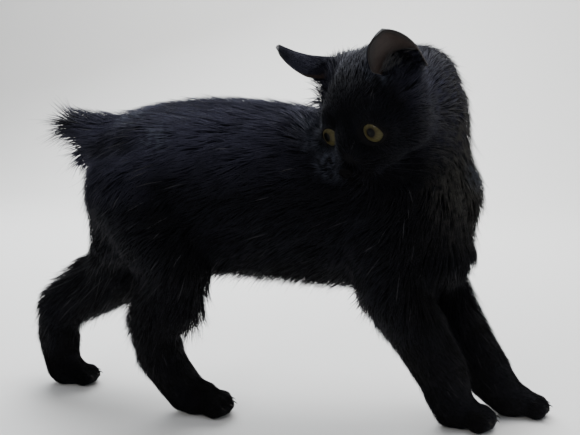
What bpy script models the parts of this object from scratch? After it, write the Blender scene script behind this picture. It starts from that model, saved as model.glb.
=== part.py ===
"""Black Manx kitten, about twelve weeks old, life size. It stands in a long stride and looks
back over its right shoulder. The solids follow the outline of its coat.

Metres, +X towards the chest, +Y to the animal's left, +Z up, the floor at z = 0.
"""

import math
import random

import bmesh
import bpy
from mathutils import Euler, Matrix, Vector
from mathutils.bvhtree import BVHTree

# Body sizes
CHEST_X = 0.098
RUMP_X = -0.113
BACK_Z = 0.168
BELLY_Z = 0.074
BARREL_HALF_WIDTH = 0.036
SEAM = 0.0003

# Head sizes, in the head's own frame: x to the nose, y to its left ear, z to its crown
HEAD_CENTRE = Vector((0.0475, -0.0230, 0.1650))
HEAD_YAW, HEAD_PITCH, HEAD_ROLL = -125.0, 28.0, 6.5
EYE_CENTRE = Vector((0.0185, 0.0130, -0.0040))
EYE_RADIUS = 0.0080
EYE_SPLAY, EYE_LIFT, EYE_SLANT = 1.0, 4.0, 14.0
LID_THICKNESS = 0.0014
APERTURE_HALF_WIDTH, APERTURE_HALF_HEIGHT = 0.0058, 0.0046
EAR_ROOT = Vector((0.0010, 0.0245, 0.0185))
EAR_TIP = Vector((0.0158, 0.0335, 0.0405))
EAR_OPENING = Vector((0.62, 0.66, -0.22))
EAR_RAISE = {1: -0.0018, -1: 0.0018}  # the right ear is held a little higher
EAR_WIDTH = 0.0270
EAR_DEPTH = 0.0080
EAR_THICKNESS = 0.0016

# Coat: the core lies this far inside the tips of the locks, which grow from it
CORE_DEPTH = 0.0022
CORE_BARE_Z, CORE_FULL_Z = 0.030, 0.072
LOCK_THICKNESS = 0.0017
LOCK_SINK = 0.0022
REACH = 0.12
LOCK_APART = 0.030
SEED = 10
LOCK_STEPS = (0.0, 0.34, 0.74, 1.0)
LOCK_WIDTHS = (0.70, 1.00, 0.66)
LOCK_DEPTHS = (1.00, 1.00, 0.64)
LOCK_SIZES = {  # length and width
    "back": (0.0270, 0.0158),
    "rump": (0.0180, 0.0120),
    "breast": (0.0185, 0.0115),
    "ruff": (0.0200, 0.0118),
    "nape": (0.0170, 0.0110),
    "tuft": (0.0180, 0.0100),
    "tuft_end": (0.0120, 0.0085),
    "haunch": (0.0220, 0.0140),
    "breeches": (0.0170, 0.0120),
    "shoulder": (0.0200, 0.0135),
    "leg": (0.0130, 0.0085),
}
LOCK_TRIES = ((0.0, 1.0), (0.0007, 1.0), (0.0014, 0.9), (0.0020, 0.75), (0.0012, 0.55))  # rise, length

# Grain of the meshes
BODY_VOXEL, BODY_FACES = 0.0013, 1700
HEAD_VOXEL, HEAD_FACES = 0.0009, 1300

COAT_COLOUR = (0.012, 0.011, 0.012, 1.0)
EAR_COLOUR = (0.060, 0.034, 0.030, 1.0)
EYE_COLOUR = (0.420, 0.360, 0.080, 1.0)
NOSE_COLOUR = (0.020, 0.016, 0.018, 1.0)


def mirrored(point, side):
    """The point on the animal's left (side 1) or right (side -1)."""
    return Vector((point[0], side * point[1], point[2]))


HEAD_PLACE = (
    Matrix.Translation(HEAD_CENTRE)
    @ Euler(
        (math.radians(HEAD_ROLL), math.radians(HEAD_PITCH), math.radians(HEAD_YAW))
    ).to_matrix().to_4x4()
)


def material(name, colour, roughness):
    """A Principled BSDF of one colour."""
    made = bpy.data.materials.new(name)
    made.use_nodes = True
    shader = made.node_tree.nodes["Principled BSDF"]
    shader.inputs["Base Color"].default_value = colour
    shader.inputs["Roughness"].default_value = roughness
    shader.inputs["Metallic"].default_value = 0.0
    made.diffuse_color = colour
    return made


def collection(name, hidden=False):
    """A new collection in the scene."""
    made = bpy.data.collections.new(name)
    bpy.context.scene.collection.children.link(made)
    made.hide_render = hidden
    return made


def object_from(mesh_or_bmesh, name, home):
    """An object in the collection home, from a mesh or a bmesh."""
    if isinstance(mesh_or_bmesh, bmesh.types.BMesh):
        mesh = bpy.data.meshes.new(name)
        mesh_or_bmesh.to_mesh(mesh)
        mesh_or_bmesh.free()
    else:
        mesh = mesh_or_bmesh
    made = bpy.data.objects.new(name, mesh)
    home.objects.link(made)
    return made


def discard(obj):
    bpy.data.objects.remove(obj, do_unlink=True)


def settle(obj):
    """Applies every modifier of the object."""
    bpy.context.view_layer.update()
    graph = bpy.context.evaluated_depsgraph_get()
    mesh = bpy.data.meshes.new_from_object(obj.evaluated_get(graph))
    obj.modifiers.clear()
    obj.data = mesh
    return obj


# Forms: the soft masses that are fused into one skin

def add_ball(bm, centre, radii, turn=(0.0, 0.0, 0.0)):
    """An ellipsoid, its turn in degrees about x, y and z."""
    place = (
        Matrix.Translation(Vector(centre))
        @ Euler([math.radians(a) for a in turn]).to_matrix().to_4x4()
        @ Matrix.Diagonal((*radii, 1.0))
    )
    bmesh.ops.create_uvsphere(bm, u_segments=28, v_segments=16, radius=1.0, matrix=place)


def add_limb(bm, points, radii):
    """A chain of balls joined by cones."""
    points = [Vector(p) for p in points]
    for point, radius in zip(points, radii):
        add_ball(bm, point, (radius,) * 3)
    for start, end, r1, r2 in zip(points, points[1:], radii, radii[1:]):
        along = end - start
        place = Matrix.Translation((start + end) / 2) @ along.to_track_quat("Z", "Y").to_matrix().to_4x4()
        bmesh.ops.create_cone(
            bm, cap_ends=True, segments=28, radius1=r1, radius2=r2, depth=along.length, matrix=place
        )


def add_barrel(bm, stations, sides=36):
    """A loft through upright ellipses, each given as x, middle height, half height, half width."""
    rings = []
    for x, mid, half_height, half_width in stations:
        ring = []
        for k in range(sides):
            a = 2 * math.pi * k / sides
            ring.append(bm.verts.new((x, half_width * math.cos(a), mid + half_height * math.sin(a))))
        rings.append(ring)
    for first, second in zip(rings, rings[1:]):
        for k in range(sides):
            n = (k + 1) % sides
            bm.faces.new((first[k], first[n], second[n], second[k]))
    bm.faces.new(rings[0][::-1])
    bm.faces.new(rings[-1])


def fused(bm, name, home, voxel, rounds, faces):
    """One smooth closed skin over all the forms in bm, thinned to about this many triangles."""
    bmesh.ops.recalc_face_normals(bm, faces=bm.faces)
    obj = object_from(bm, name, home)
    remesh = obj.modifiers.new("skin", "REMESH")
    remesh.mode = "VOXEL"
    remesh.voxel_size = voxel
    smooth = obj.modifiers.new("soften", "SMOOTH")
    smooth.factor = 0.5
    smooth.iterations = rounds
    settle(obj)
    thin = obj.modifiers.new("thin", "DECIMATE")
    thin.ratio = faces / (2 * len(obj.data.polygons))
    return settle(obj)


def smooth_stations(stations, count):
    """More stations, on a smooth curve through the named ones."""
    made = []
    last = len(stations) - 1
    for i in range(count):
        t = last * i / (count - 1)
        k = min(int(t), last - 1)
        f = t - k
        p = [stations[max(0, min(last, k + j))] for j in (-1, 0, 1, 2)]
        row = []
        for a, b, c, d in zip(*p):
            curve = (2 * a - 5 * b + 4 * c - d) * f**2 + (3 * b - a - 3 * c + d) * f**3
            row.append(0.5 * (2 * b + (c - a) * f + curve))
        made.append(tuple(row))
    return made


def torso_forms(bm):
    """Rump, loin, ribs, shoulders and breast, then the masses that round them."""
    mid = (BACK_Z + BELLY_Z) / 2
    half = (BACK_Z - BELLY_Z) / 2
    width = BARREL_HALF_WIDTH
    stations = (
        (RUMP_X + 0.004, mid - 0.001, 0.45 * half, 0.48 * width),
        (RUMP_X + 0.020, mid - 0.001, 0.82 * half, 0.84 * width),
        (-0.072, mid, 0.95 * half, 0.97 * width),
        (-0.040, mid + 0.001, 1.00 * half, 1.00 * width),
        (-0.005, mid - 0.001, 1.00 * half, 1.02 * width),
        (0.028, mid - 0.005, 0.97 * half, 0.99 * width),
        (0.058, mid - 0.010, 0.91 * half, 0.93 * width),
        (0.080, mid - 0.012, 0.70 * half, 0.74 * width),
        (CHEST_X - 0.004, mid - 0.012, 0.36 * half, 0.42 * width),
    )
    add_barrel(bm, smooth_stations(stations, 30))
    add_ball(bm, (0.068, 0.0, 0.118), (0.030, 0.029, 0.034))
    add_ball(bm, (0.074, 0.0, 0.090), (0.024, 0.025, 0.022))
    add_ball(bm, (-0.090, 0.0, 0.112), (0.026, 0.031, 0.036))


def neck_forms(bm):
    """The neck rises from the breast and bends back towards the right."""
    add_limb(
        bm,
        ((0.064, 0.000, 0.120), (0.0680, 0.000, 0.142), (0.0670, -0.001, 0.160), (0.0665, -0.004, 0.1730)),
        (0.033, 0.0290, 0.0272, 0.0245),
    )


TAIL_ROOT, TAIL_END = Vector((-0.098, 0.0, 0.1440)), Vector((-0.1140, 0.0, 0.1490))


def tail_forms(bm):
    """The stump under the tuft."""
    add_limb(bm, ((-0.090, 0.0, 0.140), TAIL_ROOT, TAIL_END), (0.021, 0.0150, 0.0110))


# Feet: the middle of each paw on the floor, its heading in degrees from +X, and its size
PAWS = {
    "hind_right": ((-0.0440, -0.0160), -4.0, 1.00),
    "hind_left": ((-0.1330, 0.0170), 8.0, 0.90),
    "fore_right": ((0.0930, -0.0110), -8.0, 1.00),
    "fore_left": ((0.1220, 0.0110), 6.0, 0.98),
}
PAW_LENGTH, PAW_WIDTH, PAW_HEIGHT = 0.0340, 0.0210, 0.0185


def paw_forms(bm, paw):
    """A rounded pad with four toes, the middle two reaching furthest."""
    (x, y), heading, size = PAWS[paw]
    turn = Matrix.Rotation(math.radians(heading), 3, "Z")
    centre = Vector((x, y, 0.0))
    length, width, height = PAW_LENGTH * size, PAW_WIDTH * size, PAW_HEIGHT * size
    body = centre + turn @ Vector((-0.12 * length, 0.0, 0.47 * height))
    add_ball(bm, body, (0.38 * length, 0.50 * width, 0.54 * height), (0.0, 0.0, heading))
    for k in range(4):
        across = (k - 1.5) / 1.5
        reach = 0.30 - 0.09 * abs(across) ** 2
        toe = centre + turn @ Vector((reach * length, 0.36 * width * across, 0.30 * height))
        add_ball(
            bm, toe, (0.21 * length, 0.165 * width, 0.33 * height), (0.0, 0.0, heading + 7.0 * across)
        )


def paw_point(paw, along, up):
    """A point above the paw, along its heading."""
    (x, y), heading, size = PAWS[paw]
    a = math.radians(heading)
    return Vector((x + along * math.cos(a), y + along * math.sin(a), up))


HOCK_RIGHT = Vector((-0.0715, -0.0190, 0.0500))
HOCK_LEFT = Vector((-0.1420, 0.0200, 0.0465))
KNEE_RIGHT = Vector((-0.0530, -0.0230, 0.0800))
KNEE_LEFT = Vector((-0.0980, 0.0220, 0.0720))
WRIST_RIGHT = Vector((0.0800, -0.0130, 0.0300))
WRIST_LEFT = Vector((0.1060, 0.0120, 0.0290))
ELBOW_RIGHT = Vector((0.0540, -0.0190, 0.0760))
ELBOW_LEFT = Vector((0.0770, 0.0180, 0.0780))


def hind_leg_forms(bm):
    """Near leg under the rump, far leg stretched out behind."""
    add_limb(bm, ((-0.0800, -0.0160, 0.1200), (-0.0640, -0.0215, 0.0960), KNEE_RIGHT),
             (0.0270, 0.0230, 0.0180))
    add_limb(bm, (KNEE_RIGHT, (-0.0640, -0.0205, 0.0630), HOCK_RIGHT), (0.0180, 0.0158, 0.0128))
    add_limb(bm, ((-0.0560, -0.0220, 0.0760), (-0.0545, -0.0205, 0.0620)), (0.0160, 0.0125))
    add_limb(bm, (HOCK_RIGHT, (-0.0650, -0.0180, 0.0280), paw_point("hind_right", -0.010, 0.0105)),
             (0.0128, 0.0122, 0.0108))
    add_limb(bm, ((-0.0880, 0.0160, 0.1180), (-0.0940, 0.0215, 0.0960), KNEE_LEFT), (0.0270, 0.0230, 0.0190))
    add_limb(bm, (KNEE_LEFT, (-0.1220, 0.0210, 0.0580), HOCK_LEFT), (0.0190, 0.0165, 0.0128))
    add_limb(bm, (HOCK_LEFT, (-0.1430, 0.0190, 0.0260), paw_point("hind_left", -0.007, 0.0100)),
             (0.0128, 0.0118, 0.0100))


def fore_leg_forms(bm):
    """Both forelegs reach forwards, the far one a little further."""
    add_limb(bm, ((0.0520, -0.0170, 0.1180), (0.0520, -0.0200, 0.0960), ELBOW_RIGHT),
             (0.0230, 0.0215, 0.0185))
    foot = paw_point("fore_right", -0.006, 0.0100)
    add_limb(bm, (ELBOW_RIGHT, (0.0670, -0.0150, 0.0520), WRIST_RIGHT, foot),
             (0.0185, 0.0150, 0.0128, 0.0105))
    add_limb(bm, ((0.0600, 0.0170, 0.1180), (0.0700, 0.0190, 0.0980), ELBOW_LEFT), (0.0230, 0.0210, 0.0170))
    foot = paw_point("fore_left", -0.006, 0.0100)
    add_limb(bm, (ELBOW_LEFT, (0.0905, 0.0145, 0.0530), WRIST_LEFT, foot),
             (0.0170, 0.0140, 0.0118, 0.0102))


def body_skin(home):
    bm = bmesh.new()
    torso_forms(bm)
    neck_forms(bm)
    tail_forms(bm)
    hind_leg_forms(bm)
    fore_leg_forms(bm)
    for paw in PAWS:
        paw_forms(bm, paw)
    body = fused(bm, "body", home, BODY_VOXEL, 9, BODY_FACES)
    for vertex in body.data.vertices:
        share = (vertex.co.z - CORE_BARE_Z) / (CORE_FULL_Z - CORE_BARE_Z)
        vertex.co -= vertex.normal * CORE_DEPTH * max(0.0, min(1.0, share))
    return body


def head_forms(bm):
    """Round skull, full cheeks, short muzzle and small chin, in the head's frame."""
    add_ball(bm, (-0.003, 0.0, 0.003), (0.0280, 0.0275, 0.0255))
    add_ball(bm, (0.008, 0.0, 0.003), (0.0190, 0.0240, 0.0200))
    add_limb(bm, ((0.012, 0.0, 0.001), (0.024, 0.0, -0.0060), (0.0335, 0.0, -0.0125)),
             (0.0145, 0.0095, 0.0055))
    add_ball(bm, (0.024, 0.0, -0.0150), (0.0135, 0.0130, 0.0095))
    add_ball(bm, (0.027, 0.0, -0.0235), (0.0085, 0.0070, 0.0055))
    add_ball(bm, (0.010, 0.0, -0.0150), (0.0190, 0.0180, 0.0125))
    for side in (1, -1):
        add_ball(bm, mirrored((0.004, 0.0150, -0.0080), side), (0.0170, 0.0145, 0.0160))
        add_ball(bm, mirrored((0.017, 0.0105, -0.0130), side), (0.0135, 0.0105, 0.0100))
        add_ball(bm, mirrored((0.0295, 0.0050, -0.0175), side), (0.0100, 0.0075, 0.0065))
        add_ball(bm, mirrored((0.0135, 0.0120, 0.0030), side), (0.0120, 0.0105, 0.0090))
        add_ball(bm, mirrored(EYE_CENTRE, side), (EYE_RADIUS + LID_THICKNESS,) * 3)
        rise = Vector((0.0, 0.0, EAR_RAISE[side]))
        add_ball(bm, mirrored((-0.004, 0.0145, 0.0150), side) + rise, (0.0130, 0.0120, 0.0120))
        add_ball(bm, mirrored((0.001, 0.0220, 0.0080), side) + rise, (0.0140, 0.0090, 0.0120))


def head_skin(home):
    bm = bmesh.new()
    head_forms(bm)
    return fused(bm, "head", home, HEAD_VOXEL, 16, HEAD_FACES)


# Cutting

def boolean(obj, operation, others):
    """Cuts or joins obj with other closed objects or a collection, and applies it.

    The exact solver loses whole pieces of these dense skins, so this is the manifold one.
    """
    for other in others if isinstance(others, (list, tuple)) else [others]:
        step = obj.modifiers.new("cut", "BOOLEAN")
        step.operation = operation
        step.solver = "MANIFOLD"
        if isinstance(other, bpy.types.Collection):
            step.operand_type = "COLLECTION"
            step.collection = other
        else:
            step.object = other
        settle(obj)
    return obj


def keep_largest(obj):
    """Drops every shell but the largest, also one that only touches it at a point."""
    bm = bmesh.new()
    bm.from_mesh(obj.data)
    left = set(bm.faces)
    shells = []
    while left:
        found = {left.pop()}
        front = list(found)
        while front:
            near = {f for face in front for e in face.edges if len(e.link_faces) == 2 for f in e.link_faces}
            front = list(near - found)
            found |= near
        left -= found
        shells.append(found)
    shells.sort(key=len)
    for shell in shells[:-1]:
        bmesh.ops.delete(bm, geom=list(shell), context="FACES")
    bm.to_mesh(obj.data)
    bm.free()
    return obj


def box(low, high, home, turn_y=0.0, about=(0.0, 0.0, 0.0), grow=0.0):
    """A cutter between two corners, turned about the y axis through a point, and grown all round."""
    low = Vector(low) - Vector((grow,) * 3)
    high = Vector(high) + Vector((grow,) * 3)
    size = high - low
    place = (
        Matrix.Translation(Vector(about))
        @ Matrix.Rotation(math.radians(turn_y), 4, "Y")
        @ Matrix.Translation((low + high) / 2 - Vector(about))
        @ Matrix.Diagonal((*size, 1.0))
    )
    bm = bmesh.new()
    bmesh.ops.create_cube(bm, size=1.0, matrix=place)
    made = object_from(bm, "cutter", home)
    made.display_type = "WIRE"
    return made


FLOOR_BELOW = -0.02
MIDDLE = SEAM / 2
HIP_LOW, HIP_HIGH = 0.076, 0.134
SHOULDER_LOW, SHOULDER_HIGH = 0.079, 0.122
HAUNCH_IN, SHOULDER_IN = 0.019, 0.021


def side_box(side, y_in, x_low, x_high, z_low, z_high, **more):
    """The arguments of a box from y_in outwards, on one side."""
    y_out = 0.09
    ys = (y_in, y_out) if side > 0 else (-y_out, -y_in)
    return dict(low=(x_low, ys[0], z_low), high=(x_high, ys[1], z_high), **more)


REGIONS = (
    ("hindpaw_right", [side_box(-1, MIDDLE, -0.100, -0.005, FLOOR_BELOW, 0.044, turn_y=-26.0,
                                about=tuple(HOCK_RIGHT))]),
    ("hindpaw_left", [side_box(1, MIDDLE, -0.180, -0.100, FLOOR_BELOW, 0.038)]),
    ("forepaw_right", [side_box(-1, MIDDLE, 0.040, 0.130, FLOOR_BELOW, 0.026, turn_y=-24.0,
                                about=tuple(WRIST_RIGHT))]),
    ("forepaw_left", [side_box(1, MIDDLE, 0.070, 0.160, FLOOR_BELOW, 0.025, turn_y=-22.0,
                               about=tuple(WRIST_LEFT))]),
    ("shank_right", [side_box(-1, MIDDLE, -0.110, -0.030, FLOOR_BELOW, 0.068, turn_y=12.0,
                              about=tuple(KNEE_RIGHT))]),
    ("shank_left", [side_box(1, MIDDLE, -0.180, -0.060, FLOOR_BELOW, 0.060, turn_y=38.0,
                             about=tuple(KNEE_LEFT))]),
    ("forearm_right", [side_box(-1, MIDDLE, 0.020, 0.084, FLOOR_BELOW, 0.067, turn_y=-29.0,
                                about=tuple(ELBOW_RIGHT))]),
    ("forearm_left", [side_box(1, MIDDLE, 0.040, 0.106, FLOOR_BELOW, 0.069, turn_y=-29.0,
                               about=tuple(ELBOW_LEFT))]),
    ("thigh_right", [side_box(-1, MIDDLE, -0.112, -0.030, FLOOR_BELOW, HIP_LOW),
                     side_box(-1, HAUNCH_IN, -0.112, -0.030, HIP_LOW - 0.001, HIP_HIGH)]),
    ("thigh_left", [side_box(1, MIDDLE, -0.175, -0.060, FLOOR_BELOW, HIP_LOW),
                    side_box(1, HAUNCH_IN, -0.122, -0.060, HIP_LOW - 0.001, HIP_HIGH)]),
    ("shoulder_right", [side_box(-1, MIDDLE, 0.030, 0.150, FLOOR_BELOW, SHOULDER_LOW),
                        side_box(-1, SHOULDER_IN, 0.030, 0.082, SHOULDER_LOW - 0.001, SHOULDER_HIGH)]),
    ("shoulder_left", [side_box(1, MIDDLE, 0.036, 0.160, FLOOR_BELOW, SHOULDER_LOW),
                       side_box(1, SHOULDER_IN, 0.036, 0.090, SHOULDER_LOW - 0.001, SHOULDER_HIGH)]),
    ("tail", [dict(low=(-0.160, -0.0195, 0.1290), high=(-0.0970, 0.0195, 0.200))]),
    ("neck", [dict(low=(-0.020, -0.08, 0.144), high=(0.130, 0.08, 0.240), turn_y=31.0,
                   about=(0.066, 0.0, 0.144))]),
)


def region(boxes, tools, grow):
    """One closed cutter from overlapping boxes."""
    made = [box(home=tools, grow=grow, **b) for b in boxes]
    for other in made[1:]:
        boolean(made[0], "UNION", other)
        discard(other)
    return made[0]


def part_body(body, parts, tools):
    """Cuts the skin into the named regions. What is left is the torso."""
    nodes = {}
    for name, boxes in REGIONS:
        piece = object_from(body.data.copy(), name, parts)
        inside = region(boxes, tools, 0.0)
        boolean(piece, "INTERSECT", inside)
        discard(inside)
        outside = region(boxes, tools, SEAM)
        boolean(body, "DIFFERENCE", outside)
        discard(outside)
        nodes[name] = keep_largest(piece)
    nodes["torso"] = keep_largest(object_from(body.data.copy(), "torso", parts))
    discard(body)
    return nodes


def flat_feet(body, tools):
    """Everything under the floor comes off, so that each paw stands on a small flat."""
    under = box((-0.3, -0.3, -0.1), (0.3, 0.3, 0.0), tools)
    boolean(body, "DIFFERENCE", under)
    discard(under)


# Head

def eye_turn(side):
    """The way that an eye looks, its own x axis forwards."""
    return Euler(
        (math.radians(-side * EYE_SLANT), math.radians(-EYE_LIFT), math.radians(side * EYE_SPLAY))
    ).to_matrix().to_4x4()


def almond(side, home):
    """A prism of the opening between the lids, pointed at both corners, in the head's frame."""
    bm = bmesh.new()
    outline = []
    count = 20
    for k in range(count):
        a = 2 * math.pi * k / count
        tall = math.sin(a) * abs(math.sin(a)) ** 0.35
        outline.append((APERTURE_HALF_WIDTH * math.cos(a), APERTURE_HALF_HEIGHT * tall))
    near = [bm.verts.new((0.002, y, z)) for y, z in outline]
    far = [bm.verts.new((0.020, 1.25 * y, 1.25 * z)) for y, z in outline]
    for k in range(count):
        n = (k + 1) % count
        bm.faces.new((near[k], near[n], far[n], far[k]))
    bm.faces.new(near[::-1])
    bm.faces.new(far)
    bmesh.ops.recalc_face_normals(bm, faces=bm.faces)
    bm.transform(Matrix.Translation(mirrored(EYE_CENTRE, side)) @ eye_turn(side))
    return object_from(bm, "almond", home)


def sphere(centre, radius, name, home, segments=12, rings=8):
    bm = bmesh.new()
    bmesh.ops.create_uvsphere(
        bm, u_segments=segments, v_segments=rings, radius=radius, matrix=Matrix.Translation(Vector(centre))
    )
    return object_from(bm, name, home)


MOUTH_LINE = ((0.0003, -0.0212), (0.0022, -0.0228), (0.0055, -0.0232), (0.0090, -0.0222), (0.0118, -0.0195))
NOSE_CENTRE = Vector((0.0381, 0.0, -0.0166))
NOSE_RADII = (0.0029, 0.0042, 0.0027)
MOUTH_DEPTH = 0.0006


def nose_tip(grow, name, home):
    """The nose leather: a rounded wedge, wide above and narrow below."""
    bm = bmesh.new()
    radii = [r + grow for r in NOSE_RADII]
    bmesh.ops.create_uvsphere(bm, u_segments=12, v_segments=8, radius=1.0)
    for v in bm.verts:
        narrow = 1.0 if v.co.z > 0 else 1.0 + 0.55 * v.co.z
        v.co = Vector((v.co.x * radii[0], v.co.y * radii[1] * narrow, v.co.z * radii[2]))
    bm.transform(Matrix.Translation(NOSE_CENTRE))
    return object_from(bm, name, home)


def tube(points, radius, name, home):
    """A closed tube along the points, as a cutter."""
    data = bpy.data.curves.new(name, "CURVE")
    data.dimensions = "3D"
    data.bevel_depth = radius
    data.bevel_resolution = 0
    data.use_fill_caps = True
    line = data.splines.new("POLY")
    line.points.add(len(points) - 1)
    for point, place in zip(line.points, points):
        point.co = (*place, 1.0)
    source = bpy.data.objects.new(name, data)
    home.objects.link(source)
    bpy.context.view_layer.update()
    graph = bpy.context.evaluated_depsgraph_get()
    mesh = bpy.data.meshes.new_from_object(source.evaluated_get(graph))
    discard(source)
    bm = bmesh.new()
    bm.from_mesh(mesh)
    bmesh.ops.remove_doubles(bm, verts=bm.verts, dist=1e-6)
    bmesh.ops.recalc_face_normals(bm, faces=bm.faces)
    return object_from(bm, name, home)


def bvh_of(obj):
    bm = bmesh.new()
    bm.from_mesh(obj.data)
    bm.transform(obj.matrix_world)
    tree = BVHTree.FromBMesh(bm)
    bm.free()
    return tree


def carve_face(head, tools):
    """Sockets, lids, nose seat, mouth line and nostrils, in the head's frame."""
    surface = bvh_of(head)
    cutters = []
    for side in (1, -1):
        cutters.append(sphere(mirrored(EYE_CENTRE, side), EYE_RADIUS + SEAM, "socket", tools))
        cutters.append(almond(side, tools))
        line = []
        for y, z in MOUTH_LINE:
            aim = Vector((0.030 - 0.6 * y, side * y, z))
            inwards = Vector((-0.03, -side * 0.025, 0))
            spot = surface.ray_cast(aim - inwards, inwards)[0]
            line.append(spot if spot else surface.find_nearest(aim)[0])
        cutters.append(tube(line, MOUTH_DEPTH, "mouth", tools))
    cutters.append(nose_tip(SEAM, "nose_seat", tools))
    for cutter in cutters:
        boolean(head, "DIFFERENCE", cutter)
        discard(cutter)
    return keep_largest(head)


def nose_node(home, tools):
    nose = nose_tip(0.0, "nose", home)
    for side in (1, -1):
        hole = sphere(
            NOSE_CENTRE + mirrored((0.0026, 0.0021, -0.0003), side), 0.00095, "nostril", tools, 8, 5
        )
        boolean(nose, "DIFFERENCE", hole)
        discard(hole)
    return keep_largest(nose)


def ear_sheet(side, home):
    """A curved triangular cup that opens forwards and outwards, in the head's frame."""
    rise = Vector((0.0, 0.0, EAR_RAISE[side]))
    root, tip = mirrored(EAR_ROOT, side) + rise, mirrored(EAR_TIP, side) + rise
    axis = tip - root
    length = axis.length
    axis.normalize()
    opening = mirrored(EAR_OPENING, side)
    opening = (opening - opening.dot(axis) * axis).normalized()
    across = axis.cross(opening)
    rows, columns = 8, 6
    bm = bmesh.new()
    grid = []
    for i in range(rows + 1):
        u = -0.34 + 1.325 * i / rows
        reach = max(0.0, u)
        wide = 0.5 * EAR_WIDTH * (1.0 - reach**2.3) ** 0.80
        deep = EAR_DEPTH * (1.0 - 0.85 * reach)
        row = []
        for j in range(columns + 1):
            v = 2.0 * j / columns - 1.0
            bow = 1.0 - v * v
            lean = 0.0022 * math.sin(math.pi * reach)
            point = root + axis * length * u + across * wide * v - opening * (deep * bow - lean)
            row.append(bm.verts.new(point))
        grid.append(row)
    for low, high in zip(grid, grid[1:]):
        for j in range(columns):
            bm.faces.new((low[j], low[j + 1], high[j + 1], high[j]))
    sheet = object_from(bm, "ear_left" if side > 0 else "ear_right", home)
    wall = sheet.modifiers.new("wall", "SOLIDIFY")
    wall.thickness = EAR_THICKNESS
    wall.offset = 0.0
    settle(sheet)
    bm = bmesh.new()
    bm.from_mesh(sheet.data)
    bmesh.ops.triangulate(bm, faces=bm.faces)
    bmesh.ops.recalc_face_normals(bm, faces=bm.faces)
    bm.to_mesh(sheet.data)
    bm.free()
    return sheet


def grown(obj, amount, name, home):
    """A copy of the object, swollen by this amount."""
    made = object_from(obj.data.copy(), name, home)
    swell = made.modifiers.new("swell", "DISPLACE")
    swell.mid_level = 0.0
    swell.strength = amount
    return settle(made)


def to_world(obj):
    obj.data.transform(HEAD_PLACE)
    return obj


def make_head(parts, tools):
    """Head, ears, eyes and nose. Returns them with the plain swollen head that seats the neck."""
    head = head_skin(parts)
    swollen = grown(head, SEAM + 0.0001, "swollen", tools)
    nodes = {"head": head}
    for side, name in ((1, "left"), (-1, "right")):
        ear = ear_sheet(side, parts)
        boolean(ear, "DIFFERENCE", swollen)
        nodes["ear_" + name] = keep_largest(ear)
        nodes["eye_" + name] = sphere(mirrored(EYE_CENTRE, side), EYE_RADIUS, "eye_" + name, parts)
    nodes["nose"] = nose_node(parts, tools)
    carve_face(head, tools)
    for obj in list(nodes.values()) + [swollen]:
        to_world(obj)
    return nodes, swollen


# Locks of the coat

class Coat:
    """Places locks on the nodes, following the skin, each clear of every other node."""

    def __init__(self, nodes, skin, tools):
        self.nodes = nodes
        self.skin = skin
        self.tools = tools
        self.trees = {name: bvh_of(obj) for name, obj in nodes.items()}
        self.locks = {name: [] for name in nodes}
        self.draw = random.Random(SEED)

    def vary(self, share):
        return 1.0 + self.draw.uniform(-share, share)

    def surface(self, start, towards):
        """The first node that the ray meets, and where."""
        best = None
        for name, tree in self.trees.items():
            spot, normal, _, distance = tree.ray_cast(start, towards)
            if spot and (best is None or distance < best[3]):
                best = (name, spot, normal, distance)
        return best

    def free(self, name, bm):
        """Whether this lock is clear of the floor, of every node but its own, and of their locks."""
        own = BVHTree.FromBMesh(bm)
        middle = middle_of(bm)
        for other, whole in self.trees.items():
            if other == name:
                continue
            near = [lock for centre, lock in self.locks[other] if (centre - middle).length < LOCK_APART]
            if whole.find_nearest(middle)[3] < LOCK_APART:
                near.append(whole)
            for tree in near:
                if tree.overlap(own) or min(tree.find_nearest(v.co)[3] for v in bm.verts) < SEAM:
                    return False
        return all(v.co.z > SEAM for v in bm.verts)

    def path(self, spot, normal, lie, length, lift, follow, swerve, rise):
        """Points and normals along a lock, on the skin or hanging free of it."""
        across = lie.cross(normal).normalized()
        made = []
        for t in LOCK_STEPS:
            flat = spot + lie * length * t + across * swerve * t * t
            up = normal
            if follow:
                flat, up, _, _ = self.skin.find_nearest(flat)
                up = (up + 0.5 * normal).normalized()
            height = lift * t + (rise - LOCK_SINK * (1 - t) ** 6 if t > 0 else -LOCK_SINK)
            made.append((flat + up * height, up))
        return made

    def grow(self, allowed, start, out, lie, kind, lift=CORE_DEPTH, follow=True):
        """One lock of this kind where the ray back from out meets an allowed node."""
        out = Vector(out).normalized()
        found = self.surface(Vector(start) + out * REACH, -out)
        if not found or found[0] not in allowed:
            return
        name, spot, normal, _ = found
        lie = Vector(lie).normalized()
        lie += Vector([self.draw.uniform(-0.13, 0.13) for _ in range(3)])
        if follow:
            lie -= lie.dot(normal) * normal
        lie.normalize()
        length, width = LOCK_SIZES[kind]
        length *= self.vary(0.15)
        width *= self.vary(0.12)
        swerve = 0.16 * length * self.draw.choice((-1, 1)) * self.vary(0.5)
        for rise, share in LOCK_TRIES:
            points = self.path(spot, normal, lie, length * share, lift, follow, swerve, rise)
            bm = lock_shape(points, width)
            if self.free(name, bm):
                self.locks[name].append((middle_of(bm), BVHTree.FromBMesh(bm)))
                object_from(bm, name + "_lock", self.tools[name])
                return
            bm.free()


def middle_of(bm):
    """The mean of the corners."""
    return sum((v.co for v in bm.verts), Vector()) / len(bm.verts)


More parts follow.
